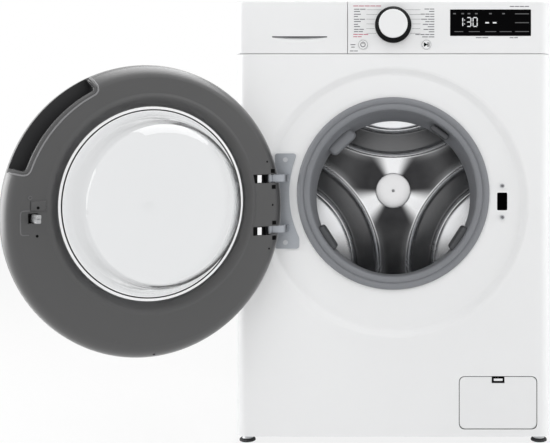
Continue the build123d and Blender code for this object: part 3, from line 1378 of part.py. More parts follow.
# Drain pump with the filter chamber, motor, inlet and outlet
pump_from = FRONT + PUMP_FROM
pump_to = pump_from + PUMP_L
inlet_y = pump_from + INLET_AT
inlet_x = FLAP_X - PUMP_R - SPIGOT_R
pipe_y = pump_from + PIPE_AT
pump_top = FLAP_Z + sqrt(PUMP_R**2 - (PIPE_X - FLAP_X) ** 2)
outlet_top = pump_top + PIPE_BEND
with BuildPart() as drain_pump:
    block(
        (FLAP_X - PUMP_FOOT_W / 2, FLAP_X + PUMP_FOOT_W / 2),
        (pump_from + EDGE_R, pump_to),
        (PAN_FLOOR, FLAP_Z),
    )
    with BuildSketch(facing(pump_from)):
        with Locations((FLAP_X, FLAP_Z)):
            Circle(PUMP_R)
    extrude(amount=-PUMP_L)
    with BuildSketch(facing(pump_to)):
        with Locations((FLAP_X, FLAP_Z)):
            Circle(PUMP_MOTOR[0])
    extrude(amount=-PUMP_MOTOR[1])
    with BuildSketch(Plane.YZ.offset(inlet_x)):
        with Locations((inlet_y, FLAP_Z)):
            Circle(SPIGOT_R)
    extrude(amount=PUMP_R + SPIGOT_R)
    with BuildSketch(level(FLAP_Z)):
        with Locations((PIPE_X, pipe_y)):
            Circle(PIPE_R)
    extrude(amount=outlet_top - FLAP_Z)
    with BuildSketch(level(FLAP_Z)):
        with Locations((PIPE_X, pipe_y)):
            Circle(PIPE_R - PIPE_T)
    extrude(amount=outlet_top - FLAP_Z, mode=Mode.SUBTRACT)
    with BuildSketch(Plane.YZ.offset(inlet_x)):
        with Locations((inlet_y, FLAP_Z)):
            Circle(SPIGOT_R - SPIGOT_T)
    extrude(amount=PUMP_R + SPIGOT_R, mode=Mode.SUBTRACT)
    with BuildSketch(facing(pump_from)):
        with Locations((FLAP_X, FLAP_Z)):
            Circle(PUMP_BORE)
    extrude(amount=PUMP_FROM - PUMP_L, mode=Mode.SUBTRACT)
save(drain_pump, "drain_pump")

# Drain filter: a cap with a grip bar and a slotted basket
with BuildPart() as drain_filter:
    with BuildSketch(facing(pump_from + FILTER_CAP)):
        with Locations((FLAP_X, FLAP_Z)):
            Circle(PUMP_BORE - SEAT)
    extrude(amount=FILTER_CAP)
    with BuildSketch(facing(pump_from)):
        with Locations((FLAP_X, FLAP_Z)):
            RectangleRounded(FILTER_GRIP[0], FILTER_GRIP[1], FILTER_GRIP[1] / 3)
    extrude(amount=FILTER_GRIP[2])
    with BuildSketch(facing(pump_from + FILTER_CAP)):
        with Locations((FLAP_X, FLAP_Z)):
            Circle(BASKET_R)
            Circle(BASKET_R - BASKET_T, mode=Mode.SUBTRACT)
    extrude(amount=FILTER_CAP - FILTER_L)
    slot_from = pump_from + 2 * FILTER_CAP
    block(
        (FLAP_X - FILTER_CAP / 2, FLAP_X + FILTER_CAP / 2),
        (slot_from, pump_from + FILTER_L - FILTER_CAP),
        (FLAP_Z - PUMP_R, FLAP_Z + PUMP_R),
        mode=Mode.SUBTRACT,
    )
save(drain_filter, "drain_filter")

# Sump hose from the tub to the pump inlet
with BuildPart() as sump_hose:
    hose_low = FLAP_Z
    with BuildLine() as sump_line:
        FilletPolyline(
            (SUMP_X, SUMP_Y, sump_end + HOSE_LAP),
            (SUMP_X, SUMP_Y, hose_low),
            (SUMP_X, inlet_y, hose_low),
            (inlet_x + HOSE_LAP, inlet_y, hose_low),
            radius=SUMP_BEND,
        )
    for hose_wall, mode in ((hose_r + HOSE_T, Mode.ADD), (hose_r, Mode.SUBTRACT)):
        with BuildSketch(level(sump_end + HOSE_LAP)):
            with Locations((SUMP_X, SUMP_Y)):
                Circle(hose_wall)
        sweep(path=sump_line.line, mode=mode)
save(sump_hose, "sump_hose")

# Drain pipe from the pump to the collared outlet spigot at the rear
with BuildPart() as drain_pipe:
    with BuildLine() as pipe_line:
        FilletPolyline(
            (PIPE_X, pipe_y, outlet_top),
            (PIPE_X, pipe_y, PIPE_Z),
            (PIPE_X, REAR, PIPE_Z),
            radius=PIPE_BEND,
        )
    for pipe_wall, mode in ((PIPE_R, Mode.ADD), (PIPE_R - PIPE_T, Mode.SUBTRACT)):
        with BuildSketch(level(outlet_top)):
            with Locations((PIPE_X, pipe_y)):
                Circle(pipe_wall)
        sweep(path=pipe_line.line, mode=mode)
    with BuildSketch(facing(SHELL_REAR + SEAT)):
        with Locations((PIPE_X, PIPE_Z)):
            Circle(PIPE_R + PIPE_T / 2)
            Circle(PIPE_R - PIPE_T, mode=Mode.SUBTRACT)
    extrude(amount=SEAT - REAR_STEP)
save(drain_pipe, "drain_pipe")

# Door lock behind its slot in the recess floor
lock_y = (FRONT + RECESS_FLOOR, FRONT + RECESS_FLOOR + LOCK_BODY[2])
with BuildPart() as door_lock:
    block(
        (LOCK_X - LOCK_BODY[0] / 2 + LOCK_SHIFT, LOCK_X + LOCK_BODY[0] / 2 + LOCK_SHIFT),
        lock_y,
        (LATCH_Z - LOCK_BODY[1] / 2, LATCH_Z + LOCK_BODY[1] / 2),
    )
    fillet(door_lock.edges().filter_by(Axis.Y), WALL)
    block(
        (LOCK_X - LOCK_HOLE[0] / 2 - SEAM, LOCK_X + LOCK_HOLE[0] / 2 + SEAM),
        (lock_y[0], lock_y[1] - LOCK_WALL),
        (LATCH_Z - LOCK_HOLE[1] / 2 - SEAM, LATCH_Z + LOCK_HOLE[1] / 2 + SEAM),
        mode=Mode.SUBTRACT,
    )
    with BuildSketch(facing(lock_y[0])):
        with Locations(*lock_screws):
            Circle(SCREW_R + SCREW_HOLE)
    extrude(amount=-2 * SCREW_L, mode=Mode.SUBTRACT)
save(door_lock, "door_lock")

# Hinge bracket: a plate on the recess floor with two bent arms
plate_front = FRONT + RECESS_D - PLATE_T
with BuildPart() as hinge_bracket:
    with BuildSketch(facing(FRONT + RECESS_D)) as plate_outline:
        with Locations(((PLATE_X[0] + PLATE_X[1]) / 2, (PLATE_Z[0] + PLATE_Z[1]) / 2)):
            Rectangle(PLATE_X[1] - PLATE_X[0], PLATE_Z[1] - PLATE_Z[0])
        with Locations((0, MOUTH_Z)):
            Circle(PLATE_BORE, mode=Mode.SUBTRACT)
        fillet(plate_outline.vertices(), PLATE_CORNER)
        with Locations(*HINGE_SCREWS):
            Circle(SCREW_R + SCREW_HOLE, mode=Mode.SUBTRACT)
    extrude(amount=PLATE_T)
    for arm_z in ARM_Z:
        with BuildSketch(level(arm_z - ARM_H / 2)):
            with BuildLine():
                FilletPolyline(
                    (ARM_ROOT_X, plate_front + PLATE_T),
                    (ARM_ROOT_X, FRONT - ARM_OUT),
                    (PIN_X, PIN_Y),
                    radius=ARM_BEND,
                )
            trace(line_width=ARM_W)
            with Locations((PIN_X, PIN_Y)):
                Circle(EYE_R)
            with Locations((PIN_X, PIN_Y)):
                Circle(PIN_R + RUN, mode=Mode.SUBTRACT)
        extrude(amount=ARM_H)
save(hinge_bracket, "hinge_bracket")

# Hinge pins, carried by the door
with BuildPart() as hinge_pins:
    for arm_z in ARM_Z:
        with BuildSketch(level(arm_z - PIN_L / 2)):
            with Locations((PIN_X, PIN_Y)):
                Circle(PIN_R)
        extrude(amount=PIN_L)
save(hinge_pins, "hinge_pins")

# Door planes, all carried to the open rest
door_lathe = swung(lathe(DOOR_Z))
door_axis = lathe_axis(door_lathe)
glass_lathe = swung(lathe(GLASS_Z))
glass_axis = lathe_axis(glass_lathe)
rim_r = DOOR_R - RIM_FLAT
rim_seam = DOOR_RIM + RIM_STRAIGHT


def door_facing(out):
    """Plane of the shut door at a distance out from the front face, carried open."""
    return swung(facing(FRONT - out))


def door_block(x, out, z, mode=Mode.ADD):
    """A box in the shut door's place, carried open."""
    with BuildSketch(door_facing(out[0])) as outline:
        with Locations(((x[0] + x[1]) / 2, (z[0] + z[1]) / 2)):
            Rectangle(x[1] - x[0], z[1] - z[0])
    extrude(outline.sketch, amount=out[1] - out[0], mode=mode)


def rim_section(inset, deep=None, mode=Mode.ADD):
    """Half section of the solid inside the door's rounded rim, a distance in from its skin."""
    low = -rim_seam if deep is None else -deep
    with BuildLine() as outline:
        Line((0, low), (0, -DOOR_FACE - inset))
        Line((0, -DOOR_FACE - inset), (rim_r, -DOOR_FACE - inset))
        ThreePointArc(
            (rim_r, -DOOR_FACE - inset),
            (DOOR_R - inset - RIM_TURN[0], -DOOR_FACE - inset - RIM_TURN[1]),
            (DOOR_R - inset, -DOOR_RIM),
        )
        Line((DOOR_R - inset, -DOOR_RIM), (DOOR_R - inset, low))
        Line((DOOR_R - inset, low), (0, low))
    make_face(outline.edges(), mode=mode)


def handle_outline(turn, inset):
    """Face of the handle recess, shortened at both ends and moved out from its inner edge."""
    span = HANDLE_TO - HANDLE_FROM - 2 * turn
    with BuildSketch(door_facing(0)) as outline:
        with BuildLine() as edge:
            inner = CenterArc((0, DOOR_Z), DOOR_R - HANDLE_IN + inset, HANDLE_FROM + turn, span)
            outer = CenterArc((0, DOOR_Z), DOOR_R + HANDLE_IN, HANDLE_FROM + turn, span)
            Line(inner @ 0, outer @ 0)
            Line(inner @ 1, outer @ 1)
        make_face(edge.edges())
        corners = outline.vertices().sort_by_distance((0, DOOR_Z, 0))[:2]
        fillet(corners, radius=HANDLE_CORNER - inset)
    return outline.sketch


# Door inner frame: rounded rim, face with the glass cone, hinge and latch bosses
boss_half = PIN_L / 2
slot_half = ARM_H / 2 + SLOT_GAP
latch_slot = (LATCH_X - LATCH_W / 2 - LATCH_ROOM, LATCH_X + LATCH_W / 2 + LATCH_NIB + LATCH_ROOM)
latch_half = LATCH_H / 2 + SLOT_GAP
cheek_half = latch_half + 2 * WALL
handle_floor = DOOR_FACE + HANDLE_DEEP
cone_end = GLASS_RING_T + DOOR_SKIN
door_screw_r = rim_r - SCREW_HEAD_R
with BuildPart() as door_inner_frame:
    for arm_z in ARM_Z:
        door_block(
            (PIN_X - EYE_R, PIN_X + EYE_R),
            (DOOR_FACE, DOOR_RIM + EYE_R),
            (arm_z - boss_half, arm_z + boss_half),
        )
    with BuildSketch(door_lathe):
        rim_section(DOOR_SKIN / 2)
        rim_section(DOOR_SKIN + WALL, deep=DOOR_RIM + EYE_R)
    revolve(axis=door_axis, mode=Mode.INTERSECT)
    door_block(
        (LATCH_X - LATCH_PIN_R - WALL, LATCH_X + LATCH_PIN_R + WALL),
        (DOOR_FACE, LATCH_PIVOT + LATCH_PIN_R + WALL),
        (HOOK_Z - cheek_half, HOOK_Z + cheek_half),
    )
    with BuildSketch(door_lathe):
        rim_section(0)
        rim_section(DOOR_SKIN, mode=Mode.SUBTRACT)
    revolve(axis=door_axis)
    with BuildSketch(door_facing(0)):
        with Locations((0, GLASS_Z)):
            Circle(GLASS_RIDGE_R)
    extrude(amount=DOOR_FACE + DOOR_SKIN, mode=Mode.SUBTRACT)
    with BuildSketch(glass_lathe):
        with BuildLine():
            Polyline(
                (GLASS_RIDGE_R + DOOR_SKIN, -DOOR_FACE),
                (GLASS_RIDGE_R, -DOOR_FACE),
                (GLASS_RING_R, -GLASS_RING_T),
                (GLASS_RING_R, -cone_end),
                (GLASS_RING_R + DOOR_SKIN, -cone_end),
                (GLASS_RIDGE_R + DOOR_SKIN, -DOOR_FACE - DOOR_SKIN),
                close=True,
            )
        make_face()
    revolve(axis=glass_axis)
    for arm_z in ARM_Z:
        door_block(
            (-DOOR_R - EYE_R, PIN_X + SLOT_REACH),
            (0, DOOR_RIM + 2 * EYE_R),
            (arm_z - slot_half, arm_z + slot_half),
            mode=Mode.SUBTRACT,
        )
    door_block(latch_slot, (0, DOOR_RIM), (HOOK_Z - latch_half, HOOK_Z + latch_half), mode=Mode.SUBTRACT)
    for arm_z in ARM_Z:
        with BuildSketch(swung(level(arm_z - boss_half))):
            with Locations((PIN_X, PIN_Y)):
                Circle(PIN_R)
        extrude(amount=PIN_L, mode=Mode.SUBTRACT)
    with BuildSketch(swung(level(HOOK_Z - cheek_half))):
        with Locations((LATCH_X, FRONT - LATCH_PIVOT)):
            Circle(LATCH_PIN_R + RUN)
    extrude(amount=2 * cheek_half, mode=Mode.SUBTRACT)
    extrude(handle_outline(0, 0), amount=handle_floor, mode=Mode.SUBTRACT)
    with BuildSketch(door_facing(0)):
        for angle in DOOR_SCREW_ANGLES:
            with Locations(Location((0, DOOR_Z, 0), (0, 0, angle))):
                with Locations((door_screw_r, 0)):
                    Circle(SCREW_R + SCREW_HOLE)
    extrude(amount=DOOR_FACE + DOOR_SKIN, mode=Mode.SUBTRACT)
save(door_inner_frame, "door_inner_frame")

# Handle cup, a dark finger pocket let into the rim
with BuildPart() as handle_cup:
    extrude(handle_outline(HANDLE_GAP, SEAT), amount=handle_floor - SEAT)
    extrude(
        handle_outline(HANDLE_END, SEAT + HANDLE_WALL),
        amount=handle_floor - SEAT - HANDLE_WALL,
        mode=Mode.SUBTRACT,
    )
    with BuildSketch(door_lathe):
        rim_section(0)
    revolve(axis=door_axis, mode=Mode.INTERSECT)
save(handle_cup, "handle_cup")

# Glass bowl with its clamping flange
bowl_r = GLASS_RING_R - GLASS_RING_W - SEAM
flange_r = WINDOW_R + GLASS_LAP
slant = GLASS_T * sin(radians(45))
with BuildPart() as door_glass:
    shoulder, bend, floor_edge = BOWL_POINTS
    with BuildSketch(glass_lathe):
        with BuildLine():
            Polyline(
                (0, BOWL_DEEP - GLASS_T),
                (0, BOWL_DEEP),
                (bowl_r - floor_edge[0], BOWL_DEEP - floor_edge[1]),
            )
            ThreePointArc(
                (bowl_r - floor_edge[0], BOWL_DEEP - floor_edge[1]),
                (bowl_r - bend[0], BOWL_DEEP - bend[1]),
                (bowl_r - shoulder[0], BOWL_DEEP - shoulder[1]),
            )
            Polyline(
                (bowl_r - shoulder[0], BOWL_DEEP - shoulder[1]),
                (bowl_r, -cone_end),
                (flange_r, -cone_end),
                (flange_r, -cone_end - GLASS_T),
                (bowl_r - GLASS_T, -cone_end - GLASS_T),
                (bowl_r - shoulder[0] - GLASS_T, BOWL_DEEP - shoulder[1]),
            )
            ThreePointArc(
                (bowl_r - shoulder[0] - GLASS_T, BOWL_DEEP - shoulder[1]),
                (bowl_r - bend[0] - slant, BOWL_DEEP - bend[1] - slant),
                (bowl_r - floor_edge[0], BOWL_DEEP - floor_edge[1] - GLASS_T),
            )
            Line(
                (bowl_r - floor_edge[0], BOWL_DEEP - floor_edge[1] - GLASS_T),
                (0, BOWL_DEEP - GLASS_T),
            )
        make_face()
    revolve(axis=glass_axis)
save(door_glass, "door_glass")

# Pale ring that seats the glass in the cone
with BuildPart() as glass_ring:
    with BuildSketch(glass_lathe):
        with Locations((GLASS_RING_R - SEAT, -cone_end)):
            Rectangle(GLASS_RING_W, DOOR_SKIN, align=(Align.MAX, Align.MIN))
    revolve(axis=glass_axis)
save(glass_ring, "glass_ring")

# Door outer frame with the sleeve that clamps the glass
with BuildPart() as door_outer_frame:
    outer_top = rim_seam + SEAT
    turn_from = outer_top + OUTER_BAND
    for inset, mode in ((0, Mode.ADD), (DOOR_SKIN, Mode.SUBTRACT)):
        with BuildSketch(door_lathe):
            with BuildLine():
                Line((0, -outer_top), (DOOR_R - inset, -outer_top))
                Line((DOOR_R - inset, -outer_top), (DOOR_R - inset, -turn_from))
                ThreePointArc(
                    (DOOR_R - inset, -turn_from),
                    (DOOR_R - inset - OUTER_SAG[0], inset - DOOR_FRONT + OUTER_SAG[1]),
                    (DOOR_R - inset - OUTER_EDGE[0], inset - DOOR_FRONT),
                )
                Line((DOOR_R - inset - OUTER_EDGE[0], inset - DOOR_FRONT), (0, inset - DOOR_FRONT))
                Line((0, inset - DOOR_FRONT), (0, -outer_top))
            make_face()
        revolve(axis=door_axis, mode=mode)
    sleeve_top = cone_end + GLASS_T
    with BuildSketch(door_facing(sleeve_top)):
        with Locations((0, GLASS_Z)):
            Circle(WINDOW_R + DOOR_SKIN)
    extrude(amount=DOOR_FRONT - sleeve_top)
    with BuildSketch(door_facing(sleeve_top)):
        with Locations((0, GLASS_Z)):
            Circle(WINDOW_R)
    extrude(amount=DOOR_FRONT - sleeve_top, mode=Mode.SUBTRACT)
save(door_outer_frame, "door_outer_frame")

# Domed window in the outer frame
with BuildPart() as door_window:
    window_r = WINDOW_R - SEAT
    with BuildSketch(glass_lathe):
        with BuildLine():
            Line((0, GLASS_T - DOOR_FRONT - WINDOW_RISE), (0, -DOOR_FRONT - WINDOW_RISE))
            TangentArc((0, -DOOR_FRONT - WINDOW_RISE), (window_r, -DOOR_FRONT), tangent=(1, 0))
            Line((window_r, -DOOR_FRONT), (window_r, GLASS_T - DOOR_FRONT))
            TangentArc(
                (0, GLASS_T - DOOR_FRONT - WINDOW_RISE),
                (window_r, GLASS_T - DOOR_FRONT),
                tangent=(1, 0),
            )
        make_face()
    revolve(axis=glass_axis)
save(door_window, "door_window")

# Screws that hold the two door frames together
with BuildPart() as door_screws:
    with BuildSketch(door_facing(DOOR_FACE)):
        for angle in DOOR_SCREW_ANGLES:
            with Locations(Location((0, DOOR_Z, 0), (0, 0, angle))):
                with Locations((door_screw_r, 0)):
                    Circle(SCREW_HEAD_R)
    extrude(amount=-SCREW_HEAD_H)
    with BuildSketch(door_facing(DOOR_FACE)):
        for angle in DOOR_SCREW_ANGLES:
            with Locations(Location((0, DOOR_Z, 0), (0, 0, angle))):
                with Locations((door_screw_r, 0)):
                    Circle(SCREW_R)
    extrude(amount=SCREW_L)
save(door_screws, "door_screws")

# Latch hook on its own pivot in the door
with BuildPart() as latch_hook:
    hook_z = (HOOK_Z - LATCH_H / 2, HOOK_Z + LATCH_H / 2)
    hook_x = (LATCH_X - LATCH_W / 2, LATCH_X + LATCH_W / 2)
    door_block(hook_x, (-LATCH_TIP, LATCH_PIVOT), hook_z)
    door_block((hook_x[0], hook_x[1] + LATCH_NIB), (-LATCH_TIP, LATCH_W - LATCH_TIP), hook_z)
    with BuildSketch(swung(level(HOOK_Z - cheek_half))):
        with Locations((LATCH_X, FRONT - LATCH_PIVOT)):
            Circle(LATCH_PIN_R)
    extrude(amount=2 * cheek_half)
save(latch_hook, "latch_hook")

# Screws of the hinge, the lock and the rear panel
with BuildPart() as cabinet_screws:
    rear_face = SHELL_REAR + SHEET
    screw_sets = (
        (plate_front, HINGE_SCREWS, 1),
        (FRONT + RECESS_D, lock_screws, 1),
        (rear_face, rear_screws, -1),
    )
    for seat_y, places, out in screw_sets:
        with BuildSketch(facing(seat_y)):
            with Locations(*places):
                Circle(SCREW_HEAD_R)
        extrude(amount=out * SCREW_HEAD_H)
        with BuildSketch(facing(seat_y)):
            with Locations(*places):
                Circle(SCREW_R)
        extrude(amount=-out * SCREW_L)
save(cabinet_screws, "cabinet_screws")
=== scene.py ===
"""Finishes, turned and printed pieces and the studio of a front load washing machine."""

import json
from math import atan2, cos, degrees, exp, hypot, pi, radians, sin, sqrt

import bmesh
import bpy
from mathutils import Matrix, Vector


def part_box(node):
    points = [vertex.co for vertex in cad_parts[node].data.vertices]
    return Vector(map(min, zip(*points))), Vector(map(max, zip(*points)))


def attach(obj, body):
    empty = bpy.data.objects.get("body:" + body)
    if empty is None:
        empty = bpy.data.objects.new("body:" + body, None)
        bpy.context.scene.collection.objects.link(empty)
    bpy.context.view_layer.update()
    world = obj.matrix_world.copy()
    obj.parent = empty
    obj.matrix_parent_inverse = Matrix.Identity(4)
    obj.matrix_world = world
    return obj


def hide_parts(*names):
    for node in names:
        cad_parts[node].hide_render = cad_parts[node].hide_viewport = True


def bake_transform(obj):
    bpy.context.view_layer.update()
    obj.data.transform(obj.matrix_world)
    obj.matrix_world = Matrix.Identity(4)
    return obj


bl_info = {
    "name": "Front load washing machine",
    "version": (1, 0, 0),
    "blender": (4, 5, 0),
    "location": "3D View > Sidebar > Washer",
    "description": "Dresses the washing machine's frame with finishes, soft pieces and printed marks",
    "category": "Object",
}

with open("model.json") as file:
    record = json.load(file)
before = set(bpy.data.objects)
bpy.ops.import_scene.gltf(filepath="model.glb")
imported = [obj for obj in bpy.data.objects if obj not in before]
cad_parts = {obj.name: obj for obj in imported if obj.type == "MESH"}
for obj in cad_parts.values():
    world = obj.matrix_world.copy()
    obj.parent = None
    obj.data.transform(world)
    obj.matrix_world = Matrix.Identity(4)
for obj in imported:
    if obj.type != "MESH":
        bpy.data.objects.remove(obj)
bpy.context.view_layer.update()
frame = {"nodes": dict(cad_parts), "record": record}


def middle(node):
    """Centre of a node's box."""
    low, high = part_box(node)
    return (Vector(low) + Vector(high)) / 2


# The front panel's face, and the turn that carries the shut door to its open place
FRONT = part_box("front_panel")[0][1]
HINGE = next(j for j in frame["record"]["behaviour"]["joints"] if j["name"] == "door_hinge")
PIN = Vector((HINGE["pos_m"][0], HINGE["pos_m"][1], 0.0))
OPEN_TURN = Matrix.Rotation(radians(HINGE["range_deg"][0]), 4, "Z")
DOOR_OPEN = Matrix.Translation(PIN) @ OPEN_TURN @ Matrix.Translation(-PIN)

# Heights of the axes and places of the buttons
MOUTH_Z = 0.4815
DRUM_Z = middle("hub_cap").z
DOOR_Z = middle("door_outer_frame").z
GLASS_Z = middle("glass_ring").z
KNOB_Z = middle("knob_cap").z
POWER = middle("power_button")
START = middle("start_button")

# The shut door's inner face, out from the front panel, and the round of its rim: where the round begins,
# then the radius at which its centre lies, how far out that is and the radius of the round itself
DOOR_FACE = 0.010
RIM_FROM = 0.228
RIM_ARC = (0.22384, 0.036117, 0.026446)

# Heights of the two hinge arms and places of the lock's two screws
HINGE_ARMS_Z = (0.512, 0.417)
LOCK_SCREWS_X = 0.2088
LOCK_SCREWS_Z = (0.436, 0.496)

# Height up to which a foot is rubber, and the camera's place before the front panel
FOOT_RUBBER_TOP = 0.0066
CAMERA_AWAY = 1.8475
CAMERA_Z = 0.565


# Sizes and colours a user would change

def length(label, words, default):
    """A length setting in metres."""
    return bpy.props.FloatProperty(name=label, description=words, default=default, min=0.0, unit="LENGTH")


def colour(label, words, default):
    """A colour setting."""
    return bpy.props.FloatVectorProperty(
        name=label, description=words, default=default, size=3, min=0.0, max=1.0, subtype="COLOR"
    )


class WasherColours(bpy.types.PropertyGroup):
    """Base colours of the finishes."""

    enamel: colour("Enamel", "Painted steel of the cabinet", (0.80, 0.805, 0.81))
    moulding: colour("Moulding", "White plastic of the fascia, drawer and flap", (0.785, 0.79, 0.795))
    door_grey: colour("Door grey", "Moulded plastic of the door frames", (0.032, 0.032, 0.033))
    rubber: colour("Rubber", "Grey rubber of the door seal", (0.200, 0.207, 0.222))
    steel: colour("Steel", "Stainless sheet of the drum", (0.66, 0.67, 0.69))
    # Ink also colours painted shade: the drawer grip's line and the lock screws' recesses
    ink: colour("Ink", "Printed marks on the fascia", (0.13, 0.13, 0.14))
    accent: colour("Accent ink", "First and last programme marks", (0.46, 0.10, 0.15))


class WasherSizes(bpy.types.PropertyGroup):
    """Sizes of the pieces modelled here."""

    seal_wall: length("Seal wall", "Thickness of the rubber seal", 0.003)
    channel_deep: length("Channel depth", "Depth of the arcs pressed into the drum back", 0.0072)
    glass_wall: length("Glass wall", "Thickness of the door bowl", 0.004)
    bead: length("Bead", "Radius of the bead round the handle", 0.0017)
    wire: length("Spring wire", "Wire of the suspension springs", 0.003)
    mark_line: length("Mark height", "Height of a printed line of marks", 0.0015)
    mark_lift: length("Mark lift", "How far print stands off the fascia", 0.0002)


# Shader expressions

def join(tree, value, socket):
    """Link a value to a socket, or set it there."""
    if isinstance(value, Shade):
        tree.links.new(value.link, socket)
    else:
        socket.default_value = value


class Shade:
    """A shader output that takes part in sums."""

    def __init__(self, tree, link):
        self.tree = tree
        self.link = link

    def maths(self, operation, *values):
        """One maths node on the given values."""
        node = self.tree.nodes.new("ShaderNodeMath")
        node.operation = operation
        for place, value in enumerate(values):
            join(self.tree, value, node.inputs[place])
        return Shade(self.tree, node.outputs[0])

    def __add__(self, other):
        return self.maths("ADD", self, other)

    def __sub__(self, other):
        return self.maths("SUBTRACT", self, other)

    def __rsub__(self, other):
        return self.maths("SUBTRACT", other, self)

    def __mul__(self, other):
        return self.maths("MULTIPLY", self, other)

    def __gt__(self, other):
        return self.maths("GREATER_THAN", self, other)

    def __lt__(self, other):
        return self.maths("LESS_THAN", self, other)

    __radd__ = __add__
    __rmul__ = __mul__


# Materials by name
FINISHES = {}


class Finish:
    """One node material: a principled shader and the nodes that feed it."""

    def __init__(self, name, **constants):
        self.material = bpy.data.materials.new(name)
        self.material.use_nodes = True
        self.tree = self.material.node_tree
        self.shader = self.tree.nodes["Principled BSDF"]
        for socket, value in constants.items():
            self.shader.inputs[socket.replace("_", " ")].default_value = value
        self.place = self.node("ShaderNodeTexCoord", output="Object")
        FINISHES[name] = self.material

    def node(self, kind, settings=None, sockets=None, output=0):
        """Add a node with its settings and the values or links of its sockets."""
        node = self.tree.nodes.new(kind)
        for key, value in (settings or {}).items():
            setattr(node, key, value)
        for key, value in (sockets or {}).items():
            join(self.tree, value, node.inputs[key])
        return Shade(self.tree, node.outputs[output])

    def noise(self, scale, detail=2.0, stretch=None):
        """Cloudy values, stretched along an axis where asked."""
        place = self.place
        if stretch:
            place = self.node("ShaderNodeMapping", sockets={"Vector": place, "Scale": stretch})
        return self.node("ShaderNodeTexNoise", sockets={"Vector": place, "Scale": scale, "Detail": detail})

    def between(self, factor, first, second):
        """A colour between two."""
        return self.node(
            "ShaderNodeMix",
            {"data_type": "RGBA"},
            {0: factor, 6: tone(first), 7: tone(second)},
            output=2,
        )

    def feed(self, socket, value):
        """Send a varying value to the shader."""
        join(self.tree, value, self.shader.inputs[socket])

    def tint(self, factor, base, spread):
        """Let the colour drift to both sides of a base."""
        self.feed("Base Color", self.between(factor, shaded(base, 1 - spread), shaded(base, 1 + spread)))

    def gloss(self, factor, rough):
        """Let the roughness run between two values."""
        self.feed("Roughness", rough[0] + factor * (rough[1] - rough[0]))

    def relief(self, height, distance):
        """Raise the surface by a height pattern."""
        self.feed("Normal", self.node("ShaderNodeBump", sockets={"Height": height, "Distance": distance}))


def tone(value):
    """A colour with its alpha, or a link as it is."""
    if isinstance(value, Shade) or len(value) == 4:
        return value
    return (*value, 1.0)


def shaded(value, factor):
    """A colour made lighter or darker."""
    return tuple(min(1.0, part * factor) for part in value)


def mottled(name, base, spread, grain, rough, peel=0.0, **constants):
    """A finish whose colour drifts a little, with a fine grain in its gloss and surface."""
    finish = Finish(name, **constants)
    finish.tint(finish.noise(6.0, 3.0), base, spread)
    fine = finish.noise(grain)
    finish.gloss(fine, rough)
    if peel:
        finish.relief(fine, peel)


def brushed(name, base, spread, stretch, rough, lay):
    """Bare metal with fine lines along one way."""
    finish = Finish(name, Metallic=1.0)
    lines = finish.noise(lay, 3.0, stretch)
    finish.tint(lines, base, spread)
    finish.gloss(lines, rough)
    finish.relief(lines, 0.00002)


def speckled(name, base, fleck, scale, rough, relief, **constants):
    """A cast or pressed surface with flecks of a second colour."""
    finish = Finish(name, **constants)
    cells = finish.node(
        "ShaderNodeTexVoronoi", sockets={"Vector": finish.place, "Scale": scale}, output="Distance"
    )
    cloud = finish.noise(scale / 4, 4.0)
    finish.feed("Base Color", finish.between(cells * cloud * 2.0, base, fleck))
    finish.gloss(cloud, rough)
    finish.relief(cloud, relief)


def pressed_steel_painted_reflection(steel):
    """Sheet of the drum back with painted reflections: a painted highlight where it is plain, a painted
    dark reflection where its attribute marks channels, arms and lines.
    """
    finish = Finish("pressed_steel_painted_reflection", Metallic=1.0)
    painted_reflection_mask = finish.node("ShaderNodeAttribute", {"attribute_name": "painted_reflection"}, output="Fac")
    streak = finish.noise(26.0, 4.0, (1.0, 0.1, 1.0))
    # Painted highlight: the plain fields are brighter than the steel's own colour. Painted dark reflection:
    # near black where the attribute marks them
    light = finish.between(streak, shaded(steel, 1.40), shaded(steel, 1.56))
    dark = finish.between(streak, (0.012, 0.012, 0.013), (0.072, 0.072, 0.075))
    finish.feed("Base Color", finish.between(painted_reflection_mask, light, dark))
    finish.gloss(streak, (0.17, 0.31))


def foot_rubber():
    """Black rubber on the pad of a foot and bare metal above it."""
    finish = Finish("foot_rubber")
    height = finish.node("ShaderNodeSeparateXYZ", sockets={"Vector": finish.place}, output="Z")
    metal = height > FOOT_RUBBER_TOP
    grain = finish.noise(800.0)
    bare = finish.between(grain, (0.42, 0.43, 0.44), (0.55, 0.56, 0.57))
    black = finish.between(grain, (0.018, 0.018, 0.019), (0.026, 0.026, 0.027))
    finish.feed("Base Color", finish.between(metal, black, bare))
    finish.feed("Metallic", metal)
    finish.feed("Roughness", 0.62 - metal * 0.25 + grain * 0.08)


def clear_glass():
    """Clear glass with a faint haze."""
    finish = Finish("clear_glass", IOR=1.45, Transmission_Weight=1.0)
    haze = finish.noise(5.0)
    finish.feed("Base Color", finish.between(haze, (0.88, 0.885, 0.89), (0.90, 0.905, 0.91)))
    finish.feed("Roughness", haze * 0.012)


def glowing(name, strength):
    """A bar of the display that gives light."""
    finish = Finish(name, Base_Color=(0.0, 0.0, 0.0, 1.0), Emission_Strength=strength)
    cloud = finish.noise(300.0)
    finish.feed("Emission Color", finish.between(cloud, (0.80, 0.82, 0.85), (0.95, 0.96, 0.97)))
    finish.gloss(finish.noise(500.0), (0.4, 0.5))


